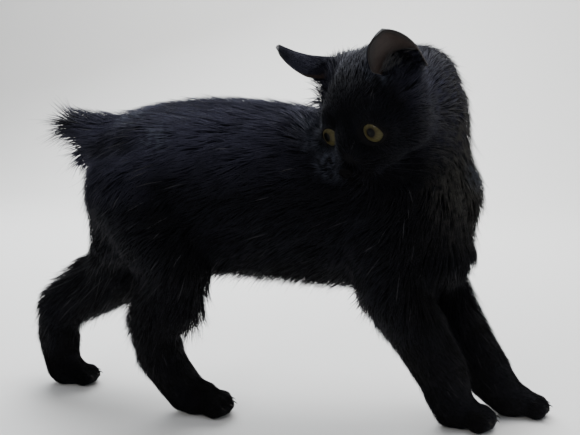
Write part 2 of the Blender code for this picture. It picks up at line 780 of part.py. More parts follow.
def lock_shape(points, width):
    """A flat, tapered, closed lock, ridged along its back, through points with their normals."""
    bm = bmesh.new()
    rings = []
    for k, (point, up) in enumerate(points[:-1]):
        along = points[k + 1][0] - points[max(0, k - 1)][0]
        across = along.cross(up).normalized()
        up = across.cross(along).normalized()
        wide = 0.5 * width * LOCK_WIDTHS[k]
        deep = LOCK_THICKNESS * LOCK_DEPTHS[k]
        corners = (across * wide, up * deep, -across * wide)
        rings.append([bm.verts.new(point + corner) for corner in corners])
    tip = bm.verts.new(points[-1][0])
    bm.faces.new(rings[0][::-1])
    for low, high in zip(rings, rings[1:]):
        for k in range(3):
            n = (k + 1) % 3
            bm.faces.new((low[k], low[n], high[n]))
            bm.faces.new((low[k], high[n], high[k]))
    for k in range(3):
        bm.faces.new((rings[-1][k], rings[-1][(k + 1) % 3], tip))
    bmesh.ops.recalc_face_normals(bm, faces=bm.faces)
    return bm


def rows(first, last, count, step):
    """Rays from an axis: at each station along it, one every step degrees, staggered."""
    first, last = Vector(first), Vector(last)
    axis = (last - first).normalized()
    side = axis.cross(Vector((0, 0, 1)) if abs(axis.z) < 0.7 else Vector((-1, 0, 0))).normalized()
    other = side.cross(axis)
    for i in range(count):
        middle = first.lerp(last, i / max(1, count - 1))
        for k in range(round(360 / step)):
            a = math.radians(step * (k + 0.5 * (i % 2)))
            out = side * math.cos(a) + other * math.sin(a)
            yield middle, out


def barrel_locks(coat):
    """Along the back and flanks the coat lies backwards and down, more steeply over the shoulders."""
    whole = ("torso", "thigh_right", "thigh_left", "shoulder_right", "shoulder_left")
    for middle, out in rows((0.074, 0.0, 0.120), (-0.098, 0.0, 0.120), 8, 30):
        steep = max(0.0, min(1.0, (middle.x + 0.005) / 0.06)) * min(1.0, 1.6 * abs(out.y))
        down = max(0.0, 0.30 - 0.55 * out.z) + 0.9 * steep
        lift = CORE_DEPTH + (0.0016 if out.z < -0.6 else 0.0)
        coat.grow(whole, middle, out, (-1.0, 0.0, -down), "back", lift)
    for k in range(8):
        middle = Vector((-0.080, 0.008 * (k % 3 - 1), 0.126 - 0.0065 * k))
        coat.grow(("torso",), middle, (-1.0, 0.0, 0.0), (-0.25, 0.0, -1.0), "rump", 0.0030)


def chest_locks(coat):
    """The breast, in staggered rows."""
    for k in range(4):
        middle = Vector((0.070, 0.0, 0.136 - 0.014 * k))
        for j in range(5):
            a = math.radians(30 * (j - 2) + 15 * (k % 2))
            out = (math.cos(a), math.sin(a), 0.0)
            coat.grow(("torso",), middle, out, (0.02, 0.0, -1.0), "breast")


def neck_locks(coat):
    """The ruff falls from the nape and throat to the shoulders."""
    for middle, out in rows((0.067, -0.001, 0.178), (0.067, 0.0, 0.138), 4, 36):
        coat.grow(("neck",), middle, out, (-0.25, 0.0, -1.0), "ruff")
    for k in range(5):
        a = math.radians(50 * k - 100)
        out = Vector((math.cos(a), math.sin(a), 1.5))
        coat.grow(("neck",), (0.067, 0, 0.168), out, (out.x, out.y, -0.6), "nape")


def tail_locks(coat):
    """A tuft like a rabbit's, fanned about the stump, more below than above."""
    axis = (TAIL_END - TAIL_ROOT).normalized()
    for middle, out in rows(TAIL_ROOT + 0.002 * axis, TAIL_END - 0.002 * axis, 3, 60):
        fan = 0.26 - 0.22 * out.z
        coat.grow(("tail",), middle, out, axis + fan * out, "tuft", 0.0008, follow=False)
    for k in range(5):
        a = math.radians(72 * k)
        out = Vector((0.0, math.cos(a), math.sin(a)))
        coat.grow(("tail",), TAIL_END + 0.0048 * out, axis, axis + 0.22 * out, "tuft_end", 0.0, follow=False)


def haunch_locks(coat):
    """Down the thighs, then the breeches behind them."""
    for side, name, top, low in (
        (-1, "right", (-0.078, -0.018, 0.108), (-0.060, -0.018, 0.064)),
        (1, "left", (-0.090, 0.018, 0.108), (-0.100, 0.018, 0.066)),
    ):
        own = ("thigh_" + name, "shank_" + name)
        for middle, out in rows(top, low, 3, 40):
            if side * out.y > 0.05:
                coat.grow(own, middle, out, (-0.40, 0.0, -1.0), "haunch")
        for k in range(4):
            middle = Vector(top).lerp(Vector(low), k / 4)
            out = (-1.0, side * (0.1 + 0.5 * (k % 2)), 0.0)
            coat.grow(own, middle, out, (-0.40, 0.0, -0.92), "breeches", 0.0040)


def shoulder_locks(coat):
    """Down the upper arms to the elbows."""
    for side, name, top, low in (
        (-1, "right", (0.056, -0.015, 0.104), (0.056, -0.015, 0.078)),
        (1, "left", (0.066, 0.015, 0.104), (0.074, 0.015, 0.078)),
    ):
        for middle, out in rows(top, low, 3, 45):
            if side * out.y > 0.1:
                coat.grow(("shoulder_" + name,), middle, out, (-0.30, 0.0, -1.0), "shoulder")


def fringe(coat, name, first, last, count, out, lie, lift=0.0036):
    """A row of locks that stand off along an edge, more towards their tips."""
    for k in range(count):
        middle = Vector(first).lerp(Vector(last), k / max(1, count - 1))
        middle.y += 0.003 * (-1) ** k
        coat.grow((name,), middle, out, lie, "leg", lift)


def leg_locks(coat):
    """Fringes behind the elbows and hocks, down the forearms and on the shins."""
    for name, elbow, wrist in (("right", ELBOW_RIGHT, WRIST_RIGHT), ("left", ELBOW_LEFT, WRIST_LEFT)):
        along = (wrist - elbow).normalized()
        back = Vector((-1.0, 0.0, -0.45))
        low = elbow.lerp(wrist, 0.72)
        for own in ("shoulder_" + name, "forearm_" + name):
            fringe(coat, own, elbow, low, 5, back, along + 0.15 * back, 0.0026)
        fringe(coat, "forearm_" + name, elbow.lerp(wrist, 0.2), low, 3, -back, along, 0.0020)
    fringe(coat, "shank_right", (-0.052, -0.021, 0.070), (-0.060, -0.020, 0.052), 3, (1, 0, 0), (0.25, 0, -1))
    fringe(coat, "shank_right", (-0.066, -0.020, 0.066), HOCK_RIGHT, 3, (-1, 0, 0), (-0.45, 0, -1))
    fringe(coat, "shank_left", (-0.108, 0.021, 0.066), HOCK_LEFT, 5, (0.3, 0, -1), (-0.6, 0, -0.8), 0.0050)
    fringe(coat, "shank_left", (-0.112, 0.021, 0.066), HOCK_LEFT, 4, (-0.4, 0, 1), (-1, 0, -0.6), 0.0026)


GROUPS = (tail_locks, barrel_locks, chest_locks, neck_locks, haunch_locks, shoulder_locks, leg_locks)


def add_locks(nodes, skin):
    """Grows every lock, then joins each node's locks to it."""
    tools = {name: collection(name + "_locks", hidden=True) for name in nodes}
    coat = Coat(nodes, skin, tools)
    for group in GROUPS:
        group(coat)
    for name, home in tools.items():
        if home.objects:
            boolean(nodes[name], "UNION", home)
            keep_largest(nodes[name])
        for obj in list(home.objects):
            discard(obj)
        bpy.data.collections.remove(home)


def centre_on_floor(nodes):
    """Sets the origin on the floor, in the middle of the whole model's box."""
    points = [v.co for obj in nodes.values() for v in obj.data.vertices]
    low = [min(p[i] for p in points) for i in range(2)]
    high = [max(p[i] for p in points) for i in range(2)]
    middle = Vector(((low[0] + high[0]) / 2, (low[1] + high[1]) / 2, 0.0))
    for obj in nodes.values():
        obj.data.transform(Matrix.Translation(-middle))


def finish(nodes):
    """Materials and shading."""
    coat = material("coat", COAT_COLOUR, 0.6)
    looks = {
        "ear": material("ear_skin", EAR_COLOUR, 0.6),
        "eye": material("iris", EYE_COLOUR, 0.1),
        "nose": material("nose_leather", NOSE_COLOUR, 0.4),
    }
    for name, obj in nodes.items():
        obj.name = name
        obj.data.materials.clear()
        obj.data.materials.append(looks.get(name.split("_")[0], coat))
        obj.data.shade_smooth()
        obj.data.set_sharp_from_angle(angle=math.radians(50))


def main():
    for old in list(bpy.data.objects):
        bpy.data.objects.remove(old, do_unlink=True)
    parts = collection("manx_kitten")
    tools = collection("cutters", hidden=True)
    body = body_skin(parts)
    flat_feet(body, tools)
    head_nodes, swollen = make_head(parts, tools)
    boolean(body, "DIFFERENCE", swollen)
    keep_largest(body)
    skin = bvh_of(body)
    nodes = part_body(body, parts, tools)
    nodes.update(head_nodes)
    discard(swollen)
    add_locks(nodes, skin)
    centre_on_floor(nodes)
    finish(nodes)


main()
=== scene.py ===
"""Black Manx kitten, about twelve weeks old, a still life-size model: skin, coat, ears, eyes,
nose, whiskers and claws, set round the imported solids.

Metres, +X towards the chest, +Y to the animal's left, +Z up, the floor at z = 0.
"""

import math
from collections import namedtuple

import bmesh
import bpy
import numpy as np
from mathutils import Euler, Matrix, Vector
from mathutils.bvhtree import BVHTree
from mathutils.kdtree import KDTree


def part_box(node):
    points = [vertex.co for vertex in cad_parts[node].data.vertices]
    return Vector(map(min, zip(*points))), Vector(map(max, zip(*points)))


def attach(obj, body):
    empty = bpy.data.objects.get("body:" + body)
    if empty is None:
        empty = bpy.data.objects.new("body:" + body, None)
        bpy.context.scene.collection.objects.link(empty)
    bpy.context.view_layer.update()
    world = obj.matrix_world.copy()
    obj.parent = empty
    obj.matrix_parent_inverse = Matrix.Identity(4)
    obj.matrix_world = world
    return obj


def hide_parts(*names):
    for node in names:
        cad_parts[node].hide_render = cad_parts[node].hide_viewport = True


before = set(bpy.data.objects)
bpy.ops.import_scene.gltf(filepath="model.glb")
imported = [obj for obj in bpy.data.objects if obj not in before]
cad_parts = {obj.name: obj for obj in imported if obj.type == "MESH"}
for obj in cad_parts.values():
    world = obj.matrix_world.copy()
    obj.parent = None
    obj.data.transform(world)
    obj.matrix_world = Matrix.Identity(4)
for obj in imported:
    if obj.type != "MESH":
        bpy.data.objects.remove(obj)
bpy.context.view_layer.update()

DRAW = np.random.default_rng(11)

# Body sizes
CHEST_X = 0.098
RUMP_X = -0.113
BACK_Z = 0.168
BELLY_Z = 0.074
BARREL_HALF_WIDTH = 0.036

# Head sizes, in the head's own frame: x to the nose, y to its left ear, z to its crown
HEAD_CENTRE = Vector((0.0475, -0.023, 0.165))
HEAD_YAW, HEAD_PITCH, HEAD_ROLL = -125.0, 28.0, 6.5
EYE_CENTRE = Vector((0.0185, 0.013, -0.004))
EYE_RADIUS = 0.008
EYE_SPLAY, EYE_LIFT, EYE_SLANT = 1.0, 4.0, 14.0
LID_THICKNESS = 0.0014
APERTURE_HALF_WIDTH, APERTURE_HALF_HEIGHT = 0.0058, 0.0046
EAR_ROOT = Vector((0.001, 0.0245, 0.0185))
EAR_TIP = Vector((0.0158, 0.0335, 0.0405))
EAR_OPENING = Vector((0.62, 0.66, -0.22))
EAR_RAISE = {1: -0.0018, -1: 0.0018}  # the right ear is held a little higher
EAR_WIDTH = 0.027
EAR_DEPTH = 0.008
EAR_FRONT_CURVE, EAR_BACK_CURVE = 0.36, 0.66
EAR_BACK_SHARE = 0.66
NOSE_CENTRE = Vector((0.0381, 0.0, -0.0166))
NOSE_RADII = (0.0029, 0.0042, 0.0027)
MOUTH_LINE = ((0.0003, -0.0212), (0.0022, -0.0228), (0.0055, -0.0232), (0.009, -0.0222),
              (0.0118, -0.0195))

VOXEL = 0.0015
SMOOTH_ROUNDS, FACE_SMOOTH_ROUNDS, SMOOTH_FACTOR = 7, 2, 0.5


def mirrored(point, side):
    """The point on the animal's left (side 1) or right (side -1)."""
    return Vector((point[0], side * point[1], point[2]))


def turned(angles):
    return Euler([math.radians(a) for a in angles]).to_matrix().to_4x4()


HEAD_PLACE = Matrix.Translation(HEAD_CENTRE) @ turned((HEAD_ROLL, HEAD_PITCH, HEAD_YAW))

# The solids are centred on the floor after they are made, so everything here moves by the same step
eye_low, eye_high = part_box("eye_left")
SHIFT = (eye_low + eye_high) / 2 - HEAD_PLACE @ EYE_CENTRE


# Camera, floor and light

CAMERA_AZIMUTH, CAMERA_ELEVATION, CAMERA_DISTANCE = 10.0, 8.0, 0.427
CAMERA_AIM = Vector((0.0, 0.0, 0.105))
LENS, SENSOR = 50.0, 36.0


def add_camera():
    """The photograph's viewing angle."""
    a, e = math.radians(CAMERA_AZIMUTH), math.radians(CAMERA_ELEVATION)
    back = Vector((math.sin(a) * math.cos(e), -math.cos(a) * math.cos(e), math.sin(e)))
    data = bpy.data.cameras.new("camera")
    data.lens = LENS
    data.sensor_width = SENSOR
    camera = bpy.data.objects.new("camera", data)
    camera.location = CAMERA_AIM + back * CAMERA_DISTANCE + SHIFT
    camera.rotation_euler = (-back).to_track_quat("-Z", "Y").to_euler()
    bpy.context.scene.collection.objects.link(camera)
    bpy.context.scene.camera = camera


def add_light(name, place, aim, size, power, colour):
    data = bpy.data.lights.new(name, "AREA")
    data.shape = "DISK"
    data.size = size
    data.energy = power
    data.color = colour
    light = bpy.data.objects.new(name, data)
    light.location = place
    light.rotation_euler = (Vector(place) - Vector(aim)).to_track_quat("Z", "Y").to_euler()
    bpy.context.scene.collection.objects.link(light)


FLOOR_DEPTH, FLOOR_HALF_WIDTH = 1.3, 3.0
SWEEP_RADIUS, SWEEP_STEPS, BACKDROP_HEIGHT = 0.5, 8, 2.2
FLOOR_COLOUR, FLOOR_ROUGHNESS = (0.78, 0.76, 0.73), 0.65
SKY_COLOUR, SKY_STRENGTH = (0.86, 0.92, 1.0), 0.55
# Name, place, aim, size, power and colour
LIGHTS = (
    ("backdrop", (0.0, 0.55, 1.1), (0.0, 1.3, 0.3), 1.2, 16.0, (0.97, 0.99, 1.0)),
    ("window", (-0.35, 0.75, 0.85), (0.0, 0.0, 0.1), 0.9, 14.0, (0.9, 0.95, 1.0)),
    ("overhead", (0.25, 0.1, 1.1), (0.0, 0.0, 0.1), 0.8, 7.0, (0.95, 0.97, 1.0)),
    ("fill", (-0.45, -1.0, 0.55), (0.02, 0.0, 0.1), 0.35, 2.5, (1.0, 0.97, 0.93)),
)


def add_stage():
    """A pale floor that curves up into a backdrop, and soft light, most of it from behind."""
    bend = FLOOR_DEPTH - SWEEP_RADIUS
    profile = [(-FLOOR_DEPTH, 0.0), (bend, 0.0)]
    for k in range(1, SWEEP_STEPS + 1):
        a = math.radians(90 * k / SWEEP_STEPS)
        profile.append((bend + SWEEP_RADIUS * math.sin(a), SWEEP_RADIUS - SWEEP_RADIUS * math.cos(a)))
    profile.append((FLOOR_DEPTH, BACKDROP_HEIGHT))
    bm = bmesh.new()
    sides = (-FLOOR_HALF_WIDTH, FLOOR_HALF_WIDTH)
    add_strips(bm, [[bm.verts.new((x, y, z)) for x in sides] for y, z in profile])
    floor = object_from(bm, "floor")
    floor.data.shade_smooth()
    fixed = {"Base Color": coloured(FLOOR_COLOUR), "Roughness": FLOOR_ROUGHNESS}
    floor.data.materials.append(Paint("pale_floor", fixed).material)
    world = bpy.data.worlds.new("studio")
    world.use_nodes = True
    sky = world.node_tree.nodes["Background"]
    sky.inputs["Color"].default_value = coloured(SKY_COLOUR)
    sky.inputs["Strength"].default_value = SKY_STRENGTH
    bpy.context.scene.world = world
    for light in LIGHTS:
        add_light(*light)


# Materials

def coloured(value):
    return (*value, 1.0)


class Nodes:
    """A node tree, filled in step by step. Where is the place that its textures use."""

    where = None

    def __init__(self, tree):
        self.tree = tree

    def feed(self, value, socket):
        """Gives a socket a value, or links it to another node's socket."""
        if isinstance(value, bpy.types.NodeSocket):
            self.tree.links.new(value, socket)
        else:
            socket.default_value = coloured(value) if socket.type == "RGBA" else value

    def node(self, kind, inputs=(), **values):
        """Adds a node and feeds its inputs, given by their names or places."""
        made = self.tree.nodes.new(kind)
        for key, value in values.items():
            setattr(made, key, value)
        for key, value in dict(inputs).items():
            self.feed(value, made.inputs[key])
        return made

    def noise(self, scale, detail=3.0, where=None):
        inputs = {"Scale": scale, "Detail": detail, "Vector": where or self.where}
        return self.node("ShaderNodeTexNoise", inputs).outputs["Fac"]

    def maths(self, operation, *values):
        return self.node("ShaderNodeMath", enumerate(values), operation=operation).outputs[0]

    def spread(self, source, low, high):
        """0 at low, 1 at high."""
        inputs = {"Value": source, "From Min": low, "From Max": high}
        return self.node("ShaderNodeMapRange", inputs).outputs["Result"]

    def mixed(self, share, first, second, blend="MIX"):
        inputs = {0: share, 6: first, 7: second}
        return self.node("ShaderNodeMix", inputs, data_type="RGBA", blend_type=blend).outputs[2]


class Paint(Nodes):
    """A material's node tree, with fixed values by the names of the shader's sockets."""

    def __init__(self, name, fixed):
        self.material = bpy.data.materials.new(name)
        self.material.use_nodes = True
        super().__init__(self.material.node_tree)
        self.shader = self.tree.nodes["Principled BSDF"]
        for key, value in fixed.items():
            self.shader.inputs[key].default_value = value
        self.where = self.node("ShaderNodeTexCoord").outputs["Object"]

    def attribute(self, name):
        return self.node("ShaderNodeAttribute", attribute_name=name).outputs["Fac"]

    def ramp(self, source, *stops):
        """A colour ramp: each stop is a place and a colour."""
        made = self.node("ShaderNodeValToRGB", {"Fac": source})
        elements = made.color_ramp.elements
        while len(elements) < len(stops):
            elements.new(0.5)
        for element, (place, colour) in zip(elements, stops):
            element.position = place
            element.color = coloured(colour)
        return made.outputs["Color"]

    def colour(self, source):
        self.feed(source, self.shader.inputs["Base Color"])

    def bump(self, height, distance, strength):
        inputs = {"Distance": distance, "Strength": strength, "Height": height}
        self.feed(self.node("ShaderNodeBump", inputs).outputs["Normal"], self.shader.inputs["Normal"])


# The second and last marks are painted light, a sheen on the back and highlights on raised tufts
MARKS_AND_LIGHT = ("Base", "Painted sheen", "Warm", "Ruff", "Painted glint")
# Over which heights and lengths each marking sets in, from none of it to all of it
# The painted sheen lies high on the back and rump, and fades out again higher up, on the head
SHEEN_RISE, SHEEN_TOP, SHEEN_SLOPE = (0.122, 0.16), (0.205, 0.165), 0.15
WARM_HEIGHTS = (0.11, 0.03)
RUFF_AHEAD, RUFF_HEIGHTS = (0.066, 0.092), (0.088, 0.125)
# Over which values of the noise each marking shows
SHEEN_PATCHES, WARM_PATCHES = (0.22, 0.52), (0.7, 0.4)
RUFF_CLUMPS, GLINT_CLUMPS = (0.3, 0.6), (0.4, 0.6)
PATCH_SCALE, CLUMP_SCALE, MARK_DETAIL = 38.0, 330.0, 2.0
# The face, kept clear of the painted sheen: its middle, its reach, and the share wholly clear
FACE, FACE_SIZE, FACE_INNER = (0.036, -0.046, 0.152), 0.047, 0.55
# Painted highlights where light catches a few raised tufts, and how far: beside the face, before
# the near ear, over the rump and on the ruff
GLINT_SPOTS = (((0.026, -0.034, 0.138), 0.012), ((0.016, -0.032, 0.15), 0.011),
           ((0.012, -0.024, 0.16), 0.01), ((0.05, -0.046, 0.182), 0.011),
           ((-0.082, -0.012, 0.16), 0.013), ((-0.064, -0.026, 0.148), 0.011),
           ((0.096, -0.01, 0.13), 0.011))
GLINT_INNER = 0.2
# The markings' colours in the order of the marks above; the second is painted sheen and the last painted
# highlights
FUR_ROOT = ((0.0012, 0.0011, 0.0014), (0.0048, 0.0047, 0.0074), (0.0014, 0.0012, 0.0011),
            (0.007, 0.0066, 0.0058), (0.007, 0.0075, 0.0105))
FUR_TIP = ((0.0032, 0.003, 0.004), (0.056, 0.055, 0.088), (0.0046, 0.0038, 0.0031),
           (0.09, 0.085, 0.074), (0.105, 0.115, 0.15))
SKIN = ((0.0025, 0.0023, 0.0028), (0.006, 0.006, 0.0084), (0.003, 0.0025, 0.0022),
        (0.01, 0.0094, 0.0084), (0.014, 0.015, 0.019))


def markings_and_light_group():
    """The coat's large, faint markings: browner low down, paler on the ruff, a painted violet-grey
    sheen along the top of the back, and painted highlights where light catches a few raised tufts."""
    group = bpy.data.node_groups.new("coat_markings_and_painted_light", "ShaderNodeTree")
    group.interface.new_socket("Patch size", in_out="INPUT", socket_type="NodeSocketFloat")
    for name in MARKS_AND_LIGHT:
        group.interface.new_socket(name, in_out="INPUT", socket_type="NodeSocketColor")
    group.interface.new_socket("Color", in_out="OUTPUT", socket_type="NodeSocketColor")
    nodes = Nodes(group)
    given = nodes.node("NodeGroupInput").outputs
    placed = nodes.node("ShaderNodeTexCoord").outputs["Object"]
    unshifted = nodes.node("ShaderNodeVectorMath", {0: placed, 1: SHIFT}, operation="SUBTRACT")
    nodes.where = unshifted.outputs["Vector"]
    split = nodes.node("ShaderNodeSeparateXYZ", {0: nodes.where}).outputs
    height, ahead = split["Z"], split["X"]
    patches = nodes.noise(given["Patch size"], MARK_DETAIL)
    clumps = nodes.noise(CLUMP_SCALE, MARK_DETAIL)

    def near(place, size, inner):
        """1 close to the place, 0 beyond its size."""
        inputs = {0: nodes.where, 1: place}
        apart = nodes.node("ShaderNodeVectorMath", inputs, operation="DISTANCE").outputs["Value"]
        return nodes.spread(apart, size, inner * size)

    def product(first, *others):
        for other in others:
            first = nodes.maths("MULTIPLY", first, other)
        return first

    behind = nodes.maths("SUBTRACT", height, product(ahead, SHEEN_SLOPE))
    off_face = nodes.maths("SUBTRACT", 1.0, near(FACE, FACE_SIZE, FACE_INNER))
    # The painted highlights: lighter tufts about each listed spot
    glint = near(*GLINT_SPOTS[0], GLINT_INNER)
    for place, size in GLINT_SPOTS[1:]:
        glint = nodes.maths("MAXIMUM", glint, near(place, size, GLINT_INNER))
    # In order: the painted sheen, the browner low coat, the paler ruff and the painted highlights
    shares = (
        product(nodes.spread(behind, *SHEEN_RISE), nodes.spread(height, *SHEEN_TOP), off_face,
                nodes.spread(patches, *SHEEN_PATCHES)),
        product(nodes.spread(height, *WARM_HEIGHTS), nodes.spread(patches, *WARM_PATCHES)),
        product(nodes.spread(ahead, *RUFF_AHEAD), nodes.spread(height, *RUFF_HEIGHTS),
                nodes.spread(clumps, *RUFF_CLUMPS)),
        product(glint, nodes.spread(clumps, *GLINT_CLUMPS)),
    )
    colour = given[MARKS_AND_LIGHT[0]]
    for share, name in zip(shares, MARKS_AND_LIGHT[1:]):
        colour = nodes.mixed(share, colour, given[name])
    nodes.node("NodeGroupOutput", {"Color": colour})
    return group


MARKINGS_AND_LIGHT = markings_and_light_group()


def add_markings_and_light(paint, colours):
    inputs = {"Patch size": PATCH_SCALE, **dict(zip(MARKS_AND_LIGHT, colours))}
    return paint.node("ShaderNodeGroup", inputs, node_tree=MARKINGS_AND_LIGHT).outputs["Color"]


def fur_material():
    """Black fur: nearly black at the root, greyer and a little brown at the tips, a few pale hairs;
    the markings add a painted sheen along the back and painted highlights on a few tufts.
    """
    paint = Paint("black_fur", {"Roughness": 0.62, "Specular IOR Level": 0.07, "Sheen Weight": 0.022,
                                "Sheen Roughness": 0.45, "Sheen Tint": (0.66, 0.7, 1.0, 1.0)})
    along = paint.attribute("along")
    dark = paint.mixed(along, add_markings_and_light(paint, FUR_ROOT), add_markings_and_light(paint, FUR_TIP))
    pale = paint.ramp(along, (0.0, (0.01, 0.01, 0.011)), (0.6, (0.055, 0.054, 0.058)),
                      (1.0, (0.1, 0.096, 0.096)))
    paint.colour(paint.mixed(paint.attribute("pale"), dark, pale))
    rough = paint.maths("MULTIPLY_ADD", paint.noise(420.0), 0.16, 0.5)
    paint.feed(rough, paint.shader.inputs["Roughness"])
    return paint.material


def skin_material():
    """Dark skin under the fur, with the coat's markings, their painted sheen and painted highlights too."""
    paint = Paint("dark_skin", {"Roughness": 0.7, "Specular IOR Level": 0.06})
    paint.colour(add_markings_and_light(paint, SKIN))
    paint.bump(paint.noise(900.0, 4.0), 0.0002, 0.6)
    return paint.material


def speckled(name, roughness, specular, scale, *stops):
    """A material whose colour varies with one noise."""
    paint = Paint(name, {"Roughness": roughness, "Specular IOR Level": specular})
    paint.colour(paint.ramp(paint.noise(scale), *stops))
    return paint


def lid_material():
    paint = speckled("lid_rim", 0.6, 0.05, 500.0,
                     (0.35, (0.0025, 0.0022, 0.0025)), (0.7, (0.006, 0.005, 0.005)))
    paint.bump(paint.noise(1500.0, 2.0), 0.0001, 0.5)
    return paint.material


def nose_material():
    """Black leather with fine pebbles."""
    paint = Paint("nose_leather", {"Roughness": 0.72, "Specular IOR Level": 0.03})
    inputs = {"Scale": 1900.0, "Vector": paint.where}
    cells = paint.node("ShaderNodeTexVoronoi", inputs).outputs["Distance"]
    paint.colour(paint.ramp(cells, (0.1, (0.0035, 0.003, 0.0035)), (0.7, (0.002, 0.0017, 0.002))))
    paint.bump(cells, 0.0001, -0.5)
    return paint.material


def ear_material():
    """Thin reddish-brown skin with painted shade in the depth of the cup, darker at the rim, and
    faint veins.
    """
    paint = Paint("ear_skin", {"Roughness": 0.6, "Specular IOR Level": 0.2, "Sheen Weight": 0.04,
                               "Sheen Roughness": 0.5})
    # Painted shade: darkest deep in the cup at its root, lighter up the cup, darker again at the rim
    skin = paint.ramp(paint.attribute("cup"), (0.0, (0.006, 0.004, 0.004)),
                      (0.3, (0.015, 0.009, 0.0075)), (0.8, (0.022, 0.013, 0.01)),
                      (1.0, (0.009, 0.0065, 0.006)))
    veins = paint.ramp(paint.noise(260.0, 5.0), (0.44, (1.0, 1.0, 1.0)), (0.5, (0.72, 0.62, 0.62)),
                       (0.56, (1.0, 1.0, 1.0)))
    paint.colour(paint.mixed(1.0, skin, veins, "MULTIPLY"))
    paint.bump(paint.noise(1100.0, 3.0), 0.00015, 0.6)
    return paint.material


def eye_material():
    """Yellow-green iris with radial fibres, a round pupil and a dark rim, under a wet cornea."""
    paint = Paint("wet_eye", {"Roughness": 0.3, "Specular IOR Level": 0.03, "Coat Weight": 0.1,
                              "Coat Roughness": 0.03})
    gaze = paint.node("ShaderNodeUVMap", uv_map="Gaze").outputs["UV"]
    reach = paint.node("ShaderNodeSeparateXYZ", {0: gaze}).outputs["X"]
    stretch = paint.node("ShaderNodeMapping", {"Vector": gaze, "Scale": (3.0, 60.0, 1.0)})
    fibres = paint.noise(1.0, 4.0, stretch.outputs["Vector"])
    iris = paint.ramp(reach, (0.13, (0.02, 0.015, 0.007)), (0.24, (0.058, 0.05, 0.023)),
                      (0.46, (0.05, 0.046, 0.022)), (0.6, (0.01, 0.009, 0.006)))
    streaks = paint.ramp(fibres, (0.3, (0.52, 0.5, 0.46)), (0.7, (1.3, 1.28, 1.2)))
    lively = paint.mixed(1.0, iris, streaks, "MULTIPLY")
    pupil = paint.ramp(reach, (0.13, (0.0, 0.0, 0.0)), (0.15, (1.0, 1.0, 1.0)))
    white = paint.ramp(reach, (0.6, (0.0, 0.0, 0.0)), (0.66, (1.0, 1.0, 1.0)))
    open_eye = paint.mixed(pupil, (0.0012, 0.0012, 0.0014), lively)
    paint.colour(paint.mixed(white, open_eye, (0.012, 0.009, 0.008)))
    return paint.material


def hair_material(name, root, tip):
    """Stiff single hairs, some paler than others."""
    return speckled(name, 0.5, 0.1, 60.0, (0.3, root), (0.7, tip)).material


def claw_material():
    return speckled("claw_horn", 0.45, 0.15, 700.0,
                    (0.3, (0.008, 0.007, 0.006)), (0.7, (0.026, 0.022, 0.018))).material


# Meshes

def object_of(mesh, name):
    made = bpy.data.objects.new(name, mesh)
    bpy.context.scene.collection.objects.link(made)
    return made


def object_from(bm, name):
    mesh = bpy.data.meshes.new(name)
    bm.to_mesh(mesh)
    bm.free()
    return object_of(mesh, name)


def settle(obj):
    """Applies every modifier of the object."""
    bpy.context.view_layer.update()
    graph = bpy.context.evaluated_depsgraph_get()
    mesh = bpy.data.meshes.new_from_object(obj.evaluated_get(graph))
    obj.modifiers.clear()
    obj.data = mesh
    return obj


def finish_piece(obj, material, replaced=()):
    """Moves a finished piece into the solids' frame and binds it to the body."""
    obj.data.transform(Matrix.Translation(SHIFT))
    obj.data.materials.clear()
    obj.data.materials.append(material)
    obj.data.shade_smooth()
    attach(obj, "root")
    if replaced:
        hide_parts(*replaced)
    return obj


def array_mesh(name, points, faces):
    """A mesh of triangles from arrays."""
    mesh = bpy.data.meshes.new(name)
    mesh.vertices.add(len(points))
    mesh.vertices.foreach_set("co", np.ascontiguousarray(points, np.float32).ravel())
    mesh.loops.add(faces.size)
    mesh.loops.foreach_set("vertex_index", np.ascontiguousarray(faces, np.int32).ravel())
    mesh.polygons.add(len(faces))
    mesh.polygons.foreach_set("loop_start", np.arange(0, faces.size, 3, dtype=np.int32))
    mesh.update(calc_edges=True)
    return mesh


def read(rows, key, width, kind=np.float32):
    """One value of every element, a row for each."""
    flat = np.empty(width * len(rows), kind)
    rows.foreach_get(key, flat)
    return flat.reshape(-1, width)


def points_of(mesh):
    return read(mesh.vertices, "co", 3).astype(float)


def normals_of(mesh):
    return read(mesh.vertex_normals, "vector", 3).astype(float)


def triangles_of(mesh):
    mesh.calc_loop_triangles()
    return read(mesh.loop_triangles, "vertices", 3, np.int32)


def sizes_of(rows):
    return np.linalg.norm(rows, axis=1)


def unit(rows):
    return rows / np.maximum(np.linalg.norm(rows, axis=-1, keepdims=True), 1e-12)


def step(values, low, high):
    """Smooth from 0 at low to 1 at high."""
    t = np.clip((values - low) / (high - low), 0.0, 1.0)
    return t * t * (3.0 - 2.0 * t)


def moved(points, place):
    """The points moved by a 4 x 4 matrix."""
    place = np.array(place)
    return points @ place[:3, :3].T + place[:3, 3]


def add_strips(bm, rows, closed=False):
    """Faces between each row of corners and the next; closed rows join up at their ends."""
    for low, high in zip(rows, rows[1:]):
        for k in range(len(low) - (0 if closed else 1)):
            n = (k + 1) % len(low)
            bm.faces.new((low[k], low[n], high[n], high[k]))


# Forms: the masses under the outline of the coat

def add_shape(bm, create, **sizes):
    """Adds one shape, made apart because that is faster than in a mesh that is already large."""
    shape = bmesh.new()
    create(shape, **sizes)
    mesh = bpy.data.meshes.new("shape")
    shape.to_mesh(mesh)
    shape.free()
    bm.from_mesh(mesh)
    bpy.data.meshes.remove(mesh)


def add_ball(bm, centre, radii, turn=(0.0, 0.0, 0.0)):
    """An ellipsoid, its turn in degrees about x, y and z."""
    place = Matrix.Translation(Vector(centre)) @ turned(turn) @ Matrix.Diagonal((*radii, 1.0))
    add_shape(bm, bmesh.ops.create_uvsphere, u_segments=36, v_segments=20, radius=1.0, matrix=place)


